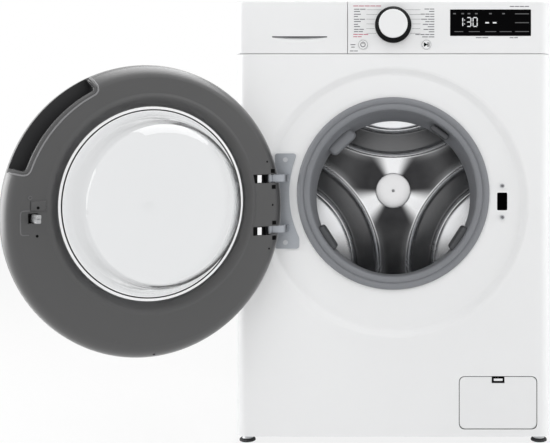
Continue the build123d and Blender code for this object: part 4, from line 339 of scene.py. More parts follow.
def make_finishes(colours):
    """All finishes of the machine, by name."""
    mottled("white_enamel", colours.enamel, 0.006, 900.0, (0.30, 0.38), 0.00004, Coat_Weight=0.15)
    mottled("white_moulding", colours.moulding, 0.006, 1500.0, (0.36, 0.46), 0.00004)
    mottled("door_grey", colours.door_grey, 0.06, 2200.0, (0.40, 0.52), 0.00003,
            Coat_Weight=1.0, Coat_Roughness=0.36, Sheen_Weight=0.2, Sheen_Roughness=0.3)
    # Paler than the door grey: a painted highlight on the bead round the handle recess
    mottled("door_edge_painted_highlight", (0.20, 0.20, 0.205), 0.06, 1800.0, (0.28, 0.38), 0.00003, Coat_Weight=0.5)
    mottled("latch_grey", (0.105, 0.105, 0.108), 0.06, 1800.0, (0.32, 0.42), 0.00003, Coat_Weight=0.5)
    mottled("hook_grey", (0.38, 0.385, 0.39), 0.05, 1200.0, (0.28, 0.38), 0.00003)
    mottled("ring_white", (0.93, 0.935, 0.94), 0.01, 900.0, (0.2, 0.28), Metallic=0.85)
    mottled("pocket_black", (0.018, 0.018, 0.019), 0.15, 1800.0, (0.5, 0.62), 0.00005,
            Specular_IOR_Level=0.3)
    # Near black: the start arrow's print, and painted shade in the door's holes and slots and the flap's
    # seam; it also colours the catch's frame
    mottled("black_print_and_painted_shade", (0.003, 0.003, 0.003), 0.2, 900.0, (0.6, 0.7), Specular_IOR_Level=0.05)
    # The seal's rubber darkened as painted shade, for the small nozzles deep in the neck
    mottled("nozzle_rubber_painted_shade", shaded(colours.rubber, 0.30), 0.06, 700.0, (0.5, 0.62), 0.00008)
    mottled("black_moulding", (0.016, 0.016, 0.018), 0.15, 2000.0, (0.40, 0.55), 0.00006)
    mottled("knob_black", (0.006, 0.006, 0.0065), 0.2, 1800.0, (0.5, 0.6), 0.00002, Specular_IOR_Level=0.03)
    mottled("seal_rubber", colours.rubber, 0.05, 700.0, (0.48, 0.62), 0.00008)
    # Black rubber of the hoses and feet; also painted shade in the gap where the door glass seats
    mottled("black_rubber", (0.022, 0.022, 0.023), 0.2, 800.0, (0.55, 0.7), 0.0001)
    mottled("tub_moulding", (0.52, 0.53, 0.54), 0.05, 500.0, (0.5, 0.62), 0.0001)
    mottled("pipe_grey", (0.42, 0.43, 0.44), 0.05, 700.0, (0.45, 0.6), 0.00006)
    mottled("display_glass", (0.0012, 0.0012, 0.0014), 0.3, 300.0, (0.4, 0.5), Specular_IOR_Level=0.02)
    brushed("zinc_plate", (0.55, 0.56, 0.58), 0.12, (1.0, 1.0, 0.2), (0.30, 0.46), 240.0)
    brushed("bracket_steel", (0.40, 0.42, 0.45), 0.08, (0.2, 1.0, 1.0), (0.36, 0.5), 500.0)
    brushed("drum_steel", colours.steel, 0.06, (1.0, 0.05, 1.0), (0.16, 0.26), 700.0)
    brushed("hub_bright", (0.86, 0.86, 0.87), 0.03, (1.0, 1.0, 1.0), (0.22, 0.30), 300.0)
    brushed("bright_wire", (0.6, 0.6, 0.6), 0.05, (1.0, 1.0, 1.0), (0.2, 0.3), 800.0)
    speckled("cast_weight", (0.20, 0.20, 0.19), (0.36, 0.35, 0.33), 260.0, (0.8, 0.95), 0.0006)
    speckled("cast_alloy", (0.50, 0.51, 0.52), (0.62, 0.62, 0.63), 400.0, (0.42, 0.6), 0.0002, Metallic=1.0)
    speckled("motor_iron", (0.25, 0.13, 0.06), (0.36, 0.22, 0.10), 300.0, (0.4, 0.55), 0.0002)
    speckled("board_green", (0.015, 0.10, 0.045), (0.03, 0.16, 0.08), 500.0, (0.4, 0.55), 0.00005)
    # Ink of the printed marks; it also colours painted shade in the drawer grip's slit and the lock screws'
    # recesses
    mottled("print_ink_and_painted_shade", colours.ink, 0.08, 1200.0, (0.5, 0.6))
    mottled("accent_ink", colours.accent, 0.08, 1200.0, (0.5, 0.6))
    pressed_steel_painted_reflection(colours.steel)
    foot_rubber()
    clear_glass()
    glowing("lit_segment", 0.9)
    glowing("dim_segment", 0.12)


# The feet, which turn on bodies of their own
FEET = ("foot_front_left", "foot_front_right", "foot_rear_left", "foot_rear_right")

NODE_FINISHES = {
    "white_enamel": ("cabinet_shell", "front_panel"),
    "white_moulding": (
        "top_cover", "control_panel", "drawer_front", "drawer_tray", "power_button", "start_button",
        "filter_flap", "dispenser_housing", "inlet_valve", "knob_cap",
    ),
    "ring_white": ("glass_ring",),
    "hook_grey": ("latch_hook",),
    "hub_bright": ("hub_cap",),
    "pocket_black": ("handle_cup",),
    "door_grey": ("door_inner_frame", "door_outer_frame", "transit_bolt_caps", "door_screws"),
    "black_moulding": ("mains_gland", "drain_pump", "drain_filter"),
    "knob_black": ("knob_ring", "door_lock"),
    "display_glass": ("display_window",),
    "seal_rubber": ("spray_nozzles", "gasket"),
    "black_rubber": (*FEET, "fill_hose", "sump_hose"),
    "tub_moulding": ("tub_front", "tub_rear"),
    "pipe_grey": ("drain_pipe",),
    "zinc_plate": (
        "rear_panel", "base_pan", "foot_nuts", "cabinet_screws", "gasket_clamp", "damper_rods",
        "damper_cylinders", "hinge_pins", "drum_shaft", "drum_bearings", "heater",
        "suspension_springs",
    ),
    "bracket_steel": ("hinge_bracket",),
    "drum_steel": ("drum_shell", "drum_lifters", "drum_back"),
    "cast_weight": ("counterweights",),
    "cast_alloy": ("drum_spider",),
    "motor_iron": ("motor_stator", "motor_rotor"),
    "board_green": ("control_boards",),
    "clear_glass": ("door_glass", "door_window"),
}


# Modelling steps

def begin():
    """Leave edit mode and select nothing."""
    if bpy.context.object and bpy.context.object.mode != "OBJECT":
        bpy.ops.object.mode_set(mode="OBJECT")
    bpy.ops.object.select_all(action="DESELECT")


def choose(piece):
    """Leave edit mode and select one piece only."""
    begin()
    piece.select_set(True)
    bpy.context.view_layer.objects.active = piece


def pick(piece, test):
    """Select the vertices of the piece in edit mode that pass a test."""
    mesh = bmesh.from_edit_mesh(piece.data)
    bpy.ops.mesh.select_all(action="DESELECT")
    for vert in mesh.verts:
        vert.select = test(vert.co)
    mesh.select_flush_mode()
    bmesh.update_edit_mesh(piece.data)


def tidy_mesh(threshold=1e-5):
    """Close seams and poles, then point the faces outwards."""
    bpy.ops.mesh.select_all(action="SELECT")
    bpy.ops.mesh.remove_doubles(threshold=threshold)
    bpy.ops.mesh.normals_make_consistent(inside=False)


def thickened(move, threshold=1e-5):
    """Give the flat piece in hand a thickness."""
    bpy.ops.object.mode_set(mode="EDIT")
    bpy.ops.mesh.select_all(action="SELECT")
    bpy.ops.mesh.extrude_region_move(TRANSFORM_OT_translate={"value": move})
    tidy_mesh(threshold)
    bpy.ops.object.mode_set(mode="OBJECT")


def turned(profile, centre, steps, closed=True):
    """Turn a (radius, depth) outline about a level axis that runs to the rear."""
    begin()
    bpy.ops.mesh.primitive_plane_add(size=0.01)
    piece = bpy.context.object
    bpy.ops.object.mode_set(mode="EDIT")
    bpy.ops.mesh.merge(type="CENTER")
    points = list(profile) + ([profile[0]] if closed else [])
    bpy.ops.transform.translate(value=(points[0][0], points[0][1], 0.0))
    for here, there in zip(points, points[1:]):
        step = (there[0] - here[0], there[1] - here[1], 0.0)
        bpy.ops.mesh.extrude_region_move(TRANSFORM_OT_translate={"value": step})
    bpy.ops.mesh.select_all(action="SELECT")
    bpy.ops.mesh.spin(steps=steps, angle=2 * pi, center=(0, 0, 0), axis=(0, 1, 0))
    tidy_mesh()
    bpy.ops.transform.translate(value=centre)
    bpy.ops.object.mode_set(mode="OBJECT")
    return piece


def smoothed(points, per):
    """Points along a soft line through the given ones."""
    line = []
    count = len(points)
    for place in range(count - 1):
        p0 = points[max(place - 1, 0)]
        p1, p2 = points[place], points[place + 1]
        p3 = points[min(place + 2, count - 1)]
        for part in range(per):
            t = part / per
            line.append(tuple(
                0.5 * (2 * b + (c - a) * t + (2 * a - 5 * b + 4 * c - d) * t * t
                       + (3 * b - a - 3 * c + d) * t ** 3)
                for a, b, c, d in zip(p0, p1, p2, p3)
            ))
    line.append(tuple(points[-1]))
    return line


def walled(line, thick):
    """Closed outline of a wall along a line of (radius, depth) points."""
    left, right = [], []
    for place, (r, d) in enumerate(line):
        before = line[max(place - 1, 0)]
        after = line[min(place + 1, len(line) - 1)]
        run = hypot(after[0] - before[0], after[1] - before[1])
        across = (-(after[1] - before[1]) / run * thick / 2, (after[0] - before[0]) / run * thick / 2)
        left.append((r + across[0], d + across[1]))
        right.append((r - across[0], d - across[1]))
    return left + right[::-1]


def finished(piece, name, finish, body, angle=35.0, replaces=()):
    """Name a piece, smooth it, give it a finish and let it ride on a body."""
    choose(piece)
    bpy.ops.object.transform_apply(location=True, rotation=True, scale=True)
    bpy.ops.object.shade_smooth_by_angle(angle=radians(angle))
    piece.name = name
    piece.data.name = name
    piece.data.materials.clear()
    piece.data.materials.append(FINISHES[finish])
    if body:
        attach(piece, body)
    if replaces:
        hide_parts(*replaces)


def hung(piece, name, finish, angle, replaces=(), body="door"):
    """Carry a piece from the shut door's place to the open door's and finish it there."""
    piece.matrix_world = DOOR_OPEN @ piece.matrix_world
    finished(piece, name, finish, body, angle, replaces)


def carve(piece, cutter):
    """Cut one shape out of another and drop the cutter."""
    choose(piece)
    cut = piece.modifiers.new("cut", "BOOLEAN")
    cut.operation = "DIFFERENCE"
    cut.solver = "EXACT"
    cut.object = cutter
    bpy.ops.object.modifier_apply(modifier=cut.name)
    bpy.data.objects.remove(cutter)


def softened(piece, width, segments, limit=28.0):
    """Round the sharp edges of a piece."""
    choose(piece)
    edge = piece.modifiers.new("edge", "BEVEL")
    edge.width = width
    edge.segments = segments
    edge.limit_method = "ANGLE"
    edge.angle_limit = radians(limit)
    bpy.ops.object.modifier_apply(modifier=edge.name)


def slab(low, high, edge=0.0, segments=2):
    """A box between two corners, its edges rounded where asked."""
    begin()
    centre = [(a + b) / 2 for a, b in zip(low, high)]
    bpy.ops.mesh.primitive_cube_add(size=1.0, location=centre)
    piece = bpy.context.object
    piece.scale = [b - a for a, b in zip(low, high)]
    bpy.ops.object.transform_apply(location=True, rotation=True, scale=True)
    if edge:
        softened(piece, edge, segments)
    return piece


def joined(pieces):
    """Join several pieces into the first."""
    begin()
    for piece in pieces:
        piece.select_set(True)
    bpy.context.view_layer.objects.active = pieces[0]
    bpy.ops.object.join()
    return pieces[0]


def copy_of(piece, move):
    """A second piece with its own mesh, carried by a matrix."""
    twin = piece.copy()
    twin.data = piece.data.copy()
    bpy.context.collection.objects.link(twin)
    twin.data.transform(move)
    return twin


def tube(points, radius, swell=None):
    """A round bar along a line of points, its radius scaled point by point where asked."""
    line = bpy.data.curves.new("line", "CURVE")
    line.dimensions = "3D"
    line.bevel_depth = radius
    line.bevel_resolution = 2
    line.use_fill_caps = True
    run = line.splines.new("POLY")
    run.points.add(len(points) - 1)
    for place, point in enumerate(points):
        run.points[place].co = (*point, 1.0)
        run.points[place].radius = swell[place] if swell else 1.0
    rod = bpy.data.objects.new("line", line)
    bpy.context.collection.objects.link(rod)
    choose(rod)
    bpy.ops.object.convert(target="MESH")
    rod = bpy.context.object
    bpy.ops.object.mode_set(mode="EDIT")
    tidy_mesh(1e-6)
    bpy.ops.object.mode_set(mode="OBJECT")
    return rod


def cornered(points, radius, steps=8):
    """A line of points with its corners rounded."""
    points = [Vector(point) for point in points]
    line = [points[0]]
    for before, corner, after in zip(points, points[1:], points[2:]):
        start = corner + (before - corner).normalized() * radius
        end = corner + (after - corner).normalized() * radius
        for step in range(steps + 1):
            t = step / steps
            line.append(start * (1 - t) ** 2 + corner * 2 * t * (1 - t) + end * t * t)
    return line + [points[-1]]


def evenly(points, step):
    """Points at a steady spacing along a line."""
    line = [points[0]]
    for here, there in zip(points, points[1:]):
        count = max(1, round((there - here).length / step))
        line += [here.lerp(there, n / count) for n in range(1, count + 1)]
    return line


def on_door(radius, angle):
    """A point on the shut door's inner face or its rounded rim."""
    out = DOOR_FACE
    if radius > RIM_FROM:
        out = RIM_ARC[1] - sqrt(RIM_ARC[2] ** 2 - (radius - RIM_ARC[0]) ** 2)
    return Vector((radius * cos(radians(angle)), FRONT - out, DOOR_Z + radius * sin(radians(angle))))


def door_slab(x, z, out, edge=0.0):
    """A rounded block on the shut door's inner face."""
    return slab((x[0], FRONT - out[1], z[0]), (x[1], FRONT - out[0], z[1]), edge)


def door_disc(x, z, radius, out, steps=20):
    """A round plug on the shut door's inner face."""
    near, far = FRONT - out[1], FRONT - out[0]
    edge = radius * 0.2
    return turned(
        [(0.0, near), (radius, near), (radius, far - edge), (radius - edge, far), (0.0, far)],
        (x, 0, z), steps, closed=False,
    )


def around(place, half):
    """A span to both sides of a place."""
    return place - half, place + half


def bar(left, width, level, tall):
    """A printed bar as (left, right, low, high)."""
    return left, left + width, *around(level, tall / 2)


def bars_piece(bars, lift):
    """Flat printed bars as one thin mesh: each is (left, right, low, high) on the fascia."""
    begin()
    bpy.ops.mesh.primitive_plane_add(size=1.0)
    stamp = bpy.context.object
    thickened((0, 0, 1))
    upright = Matrix.Rotation(pi / 2, 4, "X")
    pieces = []
    for left, right, low, high in bars:
        place = Matrix.Translation(((left + right) / 2, FRONT, (low + high) / 2))
        size = Matrix.Diagonal((right - left, lift, high - low, 1))
        pieces.append(copy_of(stamp, place @ size @ upright))
    bpy.data.objects.remove(stamp)
    return joined(pieces)


def printed_ring(place, face, lift, inner, outer, steps):
    """A flat printed ring on a button's face."""
    near = face - lift
    outline = [(inner, near), (outer, near), (outer, face), (inner, face)]
    return turned(outline, (place.x, 0, place.z), steps)


def ramp(value, start, end):
    """A soft step from 0 at the start to 1 at the end."""
    t = min(1.0, max(0.0, (value - start) / (end - start)))
    return t * t * (3 - 2 * t)


# Pieces of the machine

class WASHER_OT_finishes(bpy.types.Operator):
    """Give every node of the frame its finish"""

    bl_idname = "washer.finishes"
    bl_label = "Finishes"

    def execute(self, context):
        make_finishes(context.scene.washer_colours)
        for finish, nodes in NODE_FINISHES.items():
            for node in nodes:
                mesh = frame["nodes"][node].data
                mesh.materials.clear()
                mesh.materials.append(FINISHES[finish])
        return {"FINISHED"}


class WASHER_OT_drum_back(bpy.types.Operator):
    """Press three arc channels into the sheet at the back of the drum and mark its painted dark reflections
    on the channels, the arms and a line beside each bead
    """

    bl_idname = "washer.drum_back"
    bl_label = "Drum back"

    def execute(self, context):
        low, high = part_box("drum_back")
        deep = context.scene.washer_sizes.channel_deep
        radius = (high[0] - low[0]) / 2
        face, rear = low[1], high[1]
        fine, coarse, seen = 140, 12, 0.196
        rings = [seen * n / fine for n in range(fine + 1)]
        rings += [seen + (radius - seen) * n / coarse for n in range(1, coarse + 1)]
        sheet = turned(
            [(r, face) for r in rings] + [(radius, rear), (0.0, rear)], (0, 0, DRUM_Z), 400, closed=False
        )
        # The channels' inner and outer radius, how far off their centres lie, their flanks and beads
        inner, outer, off, slope, bead = 0.211, 0.266, 0.350, 0.007, 0.003
        bead_share, dish_slope, dish_wide = 0.2, 0.11, 0.06
        channel_painted_dark_share, painted_dark_line_share = 0.86, 0.8
        centres = [(off * cos(radians(t)), off * sin(radians(t))) for t in (90.0, 210.0, 330.0)]
        painted_reflection = sheet.data.attributes.new("painted_reflection", "FLOAT", "POINT")
        for vert in sheet.data.vertices:
            if vert.co.y > face + 1e-6:
                continue
            x, z = vert.co.x, vert.co.z - DRUM_Z
            away = min(hypot(x - cx, z - cz) for cx, cz in centres)
            side = max(inner - away, away - outer)
            # Shape: sunk channels, a bead along each edge, and the field beyond them dished forwards
            channel = ramp(away, inner, inner + slope) * ramp(away, outer, outer - slope)
            ridge = exp(-(((side - bead) / bead) ** 2)) * bead_share * deep
            dish = dish_slope * min(dish_wide, max(0.0, inner - away))
            vert.co.y += deep * channel - ridge - dish
            # Painted dark reflections: the channels, a line beside each bead and the three arms between the
            # channels; the rest takes the painted highlight
            painted_dark_line = ramp(side, bead, 1.4 * bead) * ramp(side, 2.2 * bead, 1.8 * bead)
            # Angle from the nearest channel's middle
            lean = abs((degrees(atan2(z, x)) - 30) % 120 - 60)
            arm = ramp(lean, 10, 36) * ramp(away, outer + 2 * bead, outer + 3.5 * bead)
            beside = 1 - ramp(away, outer + 2 * bead, outer + 9 * bead)
            outward = ramp(hypot(x, z), 0.06, 0.17)
            arm *= 1 - 0.12 * outward - 0.3 * beside * outward
            painted_reflection.data[vert.index].value = max(
                channel_painted_dark_share * ramp(channel, 0.4, 1.0), arm, painted_dark_line_share * painted_dark_line
            )
        finished(sheet, "drum_back_pressed", "pressed_steel_painted_reflection", "drum", 60.0, ("drum_back",))
        return {"FINISHED"}


class WASHER_OT_hub(bpy.types.Operator):
    """Turn the flat bright hub cap with its dimple"""

    bl_idname = "washer.hub"
    bl_label = "Hub cap"

    def execute(self, context):
        low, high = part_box("hub_cap")
        face, rear, edge = low[1], high[1], (high[0] - low[0]) / 2
        cap = turned(
            [
                (0.0, face + 0.0010), (0.0016, face + 0.0009), (0.0026, face + 0.0002), (0.0040, face),
                (0.0375, face + 0.0003), (edge - 0.0012, face + 0.0008), (edge - 0.0003, face + 0.0022),
                (edge, face + 0.0060), (edge, rear), (0.0, rear),
            ],
            (0, 0, DRUM_Z), 96, closed=False,
        )
        finished(cap, "hub_disc", "hub_bright", "drum", 40.0, ("hub_cap",))
        return {"FINISHED"}


class WASHER_OT_seal(bpy.types.Operator):
    """Turn the rubber door seal with its two beads, lip, neck and fold"""

    bl_idname = "washer.seal"
    bl_label = "Door seal"

    def execute(self, context):
        wall = context.scene.washer_sizes.seal_wall
        spine = smoothed([
            (0.1828, 0.0074), (0.1825, 0.0042), (0.1800, 0.0024), (0.1765, 0.0023), (0.1732, 0.0044),
            (0.1717, 0.0058), (0.1702, 0.0044), (0.1675, 0.0028), (0.1638, 0.0030), (0.1612, 0.0050),
            (0.1600, 0.0092), (0.1590, 0.0200), (0.1570, 0.0350), (0.1548, 0.0520), (0.1530, 0.0640),
            (0.1545, 0.0700), (0.1610, 0.0715), (0.1690, 0.0690), (0.1745, 0.0665), (0.1788, 0.0695),
            (0.1795, 0.0795),
        ], 4)
        outline = [(r, FRONT + w) for r, w in spine]
        seal = turned(walled(outline, wall), (0, 0, MOUTH_Z), 160)
        # Let the neck drop step by step from the mouth's axis to the drum's, at depths in millimetres
        depths = range(14, 74, 4)
        drop = (MOUTH_Z - DRUM_Z) / len(depths)
        bpy.ops.object.mode_set(mode="EDIT")
        for depth in depths:
            pick(seal, lambda co: co.y > FRONT + depth / 1000)
            bpy.ops.transform.translate(value=(0, 0, -drop))
        finished(seal, "door_seal", "seal_rubber", None, 50.0, ("gasket",))
        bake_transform(seal)
        return {"FINISHED"}


class WASHER_OT_nozzles(bpy.types.Operator):
    """Shape the four rubber spray nozzles that stand in from the seal's neck"""

    bl_idname = "washer.nozzles"
    bl_label = "Spray nozzles"

    def execute(self, context):
        axis = Matrix.Translation((0, 0, (MOUTH_Z + DRUM_Z) / 2))
        root, far = 0.1580, 0.060
        # The long nozzle keeps the seal's rubber; the small ones take a darker copy of it as painted shade
        for name, finish, near, places, hides in (
            ("long_nozzle", "seal_rubber", 0.036, ((133.5, 0.025, 0.062),), ("spray_nozzles",)),
            (
                "small_nozzles", "nozzle_rubber_painted_shade", 0.014,
                ((54.0, 0.011, 0.040), (212.5, 0.015, 0.052), (327.0, 0.015, 0.052)), (),
            ),
        ):
            blocks = []
            for angle, reach, wide in places:
                block = slab(
                    (root - reach, FRONT + near, -wide / 2), (root, FRONT + far, wide / 2), reach * 0.40, 5
                )
                block.data.transform(axis @ Matrix.Rotation(-radians(angle), 4, "Y"))
                blocks.append(block)
            finished(joined(blocks), name, finish, "cabinet", 40.0, hides)
        return {"FINISHED"}


class WASHER_OT_glass(bpy.types.Operator):
    """Turn the glass bowl of the door, a black ring of painted shade in the gap where it seats, and the
    soft ridge round it
    """

    bl_idname = "washer.glass"
    bl_label = "Door bowl"

    def execute(self, context):
        wall = context.scene.washer_sizes.glass_wall
        rim, deep, seat = 0.1568, 0.058, 0.0250
        spine = [(0.0, deep - wall / 2)] + smoothed([
            (0.040, deep - wall / 2 - 0.0004), (0.080, deep - wall / 2 - 0.0022), (0.106, deep - 0.0078),
            (0.1225, deep - 0.0155), (0.1325, deep - 0.0265), (0.1385, deep - 0.0400),
            (0.1430, 0.0030), (0.1475, -0.0110),
        ], 6) + [(rim - 0.004, -seat + 0.003), (rim + 0.001, -seat), (0.1738, -seat)]
        outline = walled([(r, FRONT + d) for r, d in spine], wall)
        bowl = turned([(max(r, 0.0), d) for r, d in outline], (0, 0, GLASS_Z), 160, closed=False)
        hung(bowl, "door_bowl", "clear_glass", 40.0, ("door_glass",))
        # A black ring in the gap between glass and ring: painted shade
        seat_line = [
            (0.1592, 0.0200), (0.1614, 0.0200), (0.1614, 0.0194),
            (0.1610, 0.0190), (0.1596, 0.0190), (0.1592, 0.0194),
        ]
        line = turned([(r, FRONT - out) for r, out in seat_line], (0, 0, GLASS_Z), 128)
        hung(line, "glass_seat_line", "black_rubber", 40.0)
        slope = smoothed([
            (0.1885, 0.0100), (0.1862, 0.0094), (0.1838, 0.0087), (0.1812, 0.0088), (0.1785, 0.0098),
            (0.1745, 0.0120), (0.1705, 0.0145), (0.1680, 0.0163), (0.1670, 0.0180), (0.1668, 0.0198),
        ], 3)
        back = [(0.1690, 0.0205), (0.1800, 0.0115), (0.1885, 0.0108)]
        surround = turned([(r, FRONT - out) for r, out in slope + back], (0, 0, GLASS_Z), 160)
        hung(surround, "glass_surround", "door_grey", 60.0)
        return {"FINISHED"}


class WASHER_OT_handle(bpy.types.Operator):
    """Run a bead, pale as a painted highlight on the recess's rounded edge, and a round shoulder along the
    edge of the door's finger recess
    """

    bl_idname = "washer.handle"
    bl_label = "Handle bead"

    def execute(self, context):
        start, end, inside, rim, corner = 16.0, 63.5, 0.223, 0.2490, 0.014
        round_r = 0.0042

        def edge(inset):
            """Points of the recess's edge on the door, drawn in by an inset."""
            first, last = radians(start) * inside + inset, radians(end) * inside - inset
            low, high = inside + inset, rim - inset
            flat = cornered(
                [(high, first, 0), (low, first, 0), (low, last, 0), (high, last, 0)], corner - inset
            )
            return [on_door(point.x, degrees(point.y / inside)) for point in evenly(flat, 0.003)]

        # The bead's pale finish is a painted highlight
        bead = tube(edge(0.0), context.scene.washer_sizes.bead)
        hung(bead, "handle_bead", "door_edge_painted_highlight", 60.0)
        behind = Vector((0, -0.8 * round_r, 0))
        shoulder = tube([point + behind for point in edge(0.7 * round_r)], round_r)
        hung(shoulder, "handle_shoulder", "door_grey", 60.0)
        return {"FINISHED"}


class WASHER_OT_latch_plate(bpy.types.Operator):
    """Raise the plate, the bent rib and the collar round the latch"""

    bl_idname = "washer.latch_plate"
    bl_label = "Latch plate"

    def execute(self, context):
        plate = door_slab(
            (0.1875, 0.2118), (0.4677, 0.4843), (DOOR_FACE - 0.0024, DOOR_FACE + 0.0006), 0.0016
        )
        hung(plate, "latch_plate", "door_grey", 40.0)
        plane = FRONT - DOOR_FACE
        bend = [(0.2120, plane, 0.4690), (0.2270, plane, 0.4690),
                (0.2270, plane, 0.4310), (0.2140, plane, 0.4310)]
        rib = tube(evenly(cornered(bend, 0.006), 0.003), 0.0011)
        collar = turned(
            [(0.0018, plane), (0.0034, plane), (0.0031, plane + 0.0010), (0.0021, plane + 0.0010)],
            (0.2124, 0, 0.4895), 24,
        )
        hung(joined([rib, collar]), "latch_ribs", "latch_grey", 40.0)
        return {"FINISHED"}


class WASHER_OT_door_holes(bpy.types.Operator):
    """Set flush black discs and blocks as painted shade in the holes and slots of the door's inner face and
    rim
    """

    bl_idname = "washer.door_holes"
    bl_label = "Door holes"

    def execute(self, context):
        face = DOOR_FACE
        flush = (face - 0.0003, face + 0.001)
        holes = [
            door_disc(0.2008, 0.4735, 0.0026, (face - 0.0027, face)),
            door_disc(0.2015, 0.4289, 0.0024, flush),
        ]
        for x, z in ((-0.2101, 0.5432), (-0.2216, 0.4639), (-0.2140, 0.3841)):
            holes.append(door_disc(x, z, 0.0019, flush))
        for x, z in ((-0.2218, 0.5261), (-0.2237, 0.4969), (-0.2247, 0.4312), (-0.2245, 0.4034)):
            holes.append(door_slab(around(x, 0.0038), around(z, 0.0036), (face - 0.0008, face + 0.004)))
        rim_hole = door_disc(0.0, 0.0, 0.0024, (FRONT - 0.0002, FRONT + 0.0020))
        rim_lean = Matrix.Rotation(-radians(49.0), 4, "X")
        rim_hole.data.transform(Matrix.Translation(on_door(0.2436, 271.0)) @ rim_lean)
        holes.append(rim_hole)
        for z in HINGE_ARMS_Z:
            holes.append(door_slab((-0.1945, -0.1815), around(z, 0.0078), flush))
        # Black flush plugs stand in for the shade inside each hole and slot: painted shade
        hung(joined(holes), "door_holes", "black_print_and_painted_shade", 40.0)
        return {"FINISHED"}


class WASHER_OT_hinge_stops(bpy.types.Operator):
    """Set a white stop at each of the door's two hinge slots"""

    bl_idname = "washer.hinge_stops"
    bl_label = "Hinge stops"

    def execute(self, context):
        out = (DOOR_FACE - 0.0012, DOOR_FACE + 0.002)
        stops = [door_slab((-0.1982, -0.1895), around(z, 0.0070), out, 0.0005) for z in HINGE_ARMS_Z]
        hung(joined(stops), "hinge_stops", "ring_white", 40.0)
        return {"FINISHED"}


class WASHER_OT_screw_plugs(bpy.types.Operator):
    """Press flush plugs over the door's six screws"""

    bl_idname = "washer.screw_plugs"
    bl_label = "Screw plugs"

    def execute(self, context):
        out = (DOOR_FACE - 0.0001, DOOR_FACE + 0.003)
        plugs = []
        for angle in (95.0, 135.0, 215.0, 250.0, 290.0, 330.0):
            place = on_door(0.224, angle)
            plugs.append(door_disc(place.x, place.z, 0.0042, out, 32))
        hung(joined(plugs), "screw_plugs", "door_grey", 40.0, ("door_screws",))
        return {"FINISHED"}


class WASHER_OT_hook(bpy.types.Operator):
    """Shape the latch hook as a shank with two stepped fingers"""

    bl_idname = "washer.hook"
    bl_label = "Latch hook"

    def execute(self, context):
        fingers = [
            door_slab((0.2030, 0.2090), (0.4508, 0.4632), (-0.0150, 0.0260), 0.0008),
            door_slab((0.2030, 0.2098), (0.4574, 0.4635), (-0.0172, -0.0040), 0.0012),
            door_slab((0.2042, 0.2125), (0.4505, 0.4568), (-0.0200, -0.0085), 0.0014),
        ]
        hung(joined(fingers), "latch_fingers", "hook_grey", 40.0, ("latch_hook",), "latch")
        return {"FINISHED"}


class WASHER_OT_catch(bpy.types.Operator):
    """Set the push catch and its dark frame into the flap"""

    bl_idname = "washer.catch"
    bl_label = "Flap catch"

    def execute(self, context):
        surround = slab((0.1884, FRONT - 0.0003, 0.1203), (0.2122, FRONT + 0.002, 0.1331), 0.0002)
        finished(surround, "catch_frame", "black_print_and_painted_shade", "flap")
        tongue = slab((0.1918, FRONT - 0.0008, 0.1242), (0.2087, FRONT + 0.001, 0.1287), 0.0006)
        finished(tongue, "catch_tongue", "white_moulding", "flap")
        return {"FINISHED"}


class WASHER_OT_screw_recesses(bpy.types.Operator):
    """Set a dark disc on the heads of the lock's two screws as painted shade in their recesses"""

    bl_idname = "washer.screw_recesses"
    bl_label = "Screw recesses"

    def execute(self, context):
        dots = joined([door_disc(LOCK_SCREWS_X, z, 0.0026, (-0.0080, -0.0040)) for z in LOCK_SCREWS_Z])
        dots.data.transform(Matrix.Translation((0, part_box("cabinet_screws")[0][1] - FRONT - 0.0042, 0)))
        # The dark discs are painted shade where the screw heads' recesses are
        finished(dots, "screw_recesses", "print_ink_and_painted_shade", "cabinet")
        return {"FINISHED"}


class WASHER_OT_grip(bpy.types.Operator):
    """Sink the finger grip into the drawer's front, under a dark line that is painted shade in the slit
    below the lip
    """

    bl_idname = "washer.grip"
    bl_label = "Drawer grip"

    def execute(self, context):
        left, right, top, drop, deep = -0.2310, -0.1260, 0.7792, 0.0115, 0.0046
        # The dark line is painted shade where the lip overhangs the hollow
        line = slab((left, FRONT - 0.0002, top), (right, FRONT + 0.001, top + 0.0025), 0.0001)
        finished(line, "grip_line", "print_ink_and_painted_shade", "drawer")
        begin()
        bpy.ops.mesh.primitive_grid_add(x_subdivisions=64, y_subdivisions=16, size=2)
        hollow = bpy.context.object
        for vert in hollow.data.vertices:
            across, down = 0.995 * vert.co.x, (1 - vert.co.y) / 2
            swell = 1 - across ** 2
            vert.co = (
                (left + right) / 2 + across * (right - left) / 2,
                FRONT - 0.0001 + deep * swell * (1 - down) ** 2,
                top - down * drop * sqrt(swell),
            )
        thickened((0, 0.0008, 0), 1e-6)
        finished(hollow, "grip_hollow", "white_moulding", "drawer", 60.0)
        return {"FINISHED"}


class WASHER_OT_flap_seam(bpy.types.Operator):
    """Run a black tube in the seam round the filter flap as painted shade"""

    bl_idname = "washer.flap_seam"
    bl_label = "Flap seam"

    def execute(self, context):
        wide, high, seam, turn = 0.147, 0.099, 0.0012, 0.0116
        flap = middle("filter_flap")
        mid = Vector((flap.x, FRONT + 0.0004, flap.z))
        side = Vector((wide / 2 + 0.62 * seam, 0, 0))
        upper = mid + Vector((0, 0, high / 2 + 0.62 * seam))
        lower = mid - Vector((0, 0, high / 2 + 0.75 * seam))
        corners = [lower, lower - side, upper - side, upper + side, lower + side, lower]
        # A black tube fills the gap: painted shade in the seam
        painted_dark_line = tube(cornered(corners, turn), seam * 0.46)
        finished(painted_dark_line, "flap_seam", "black_print_and_painted_shade", "cabinet", 60.0)
        return {"FINISHED"}


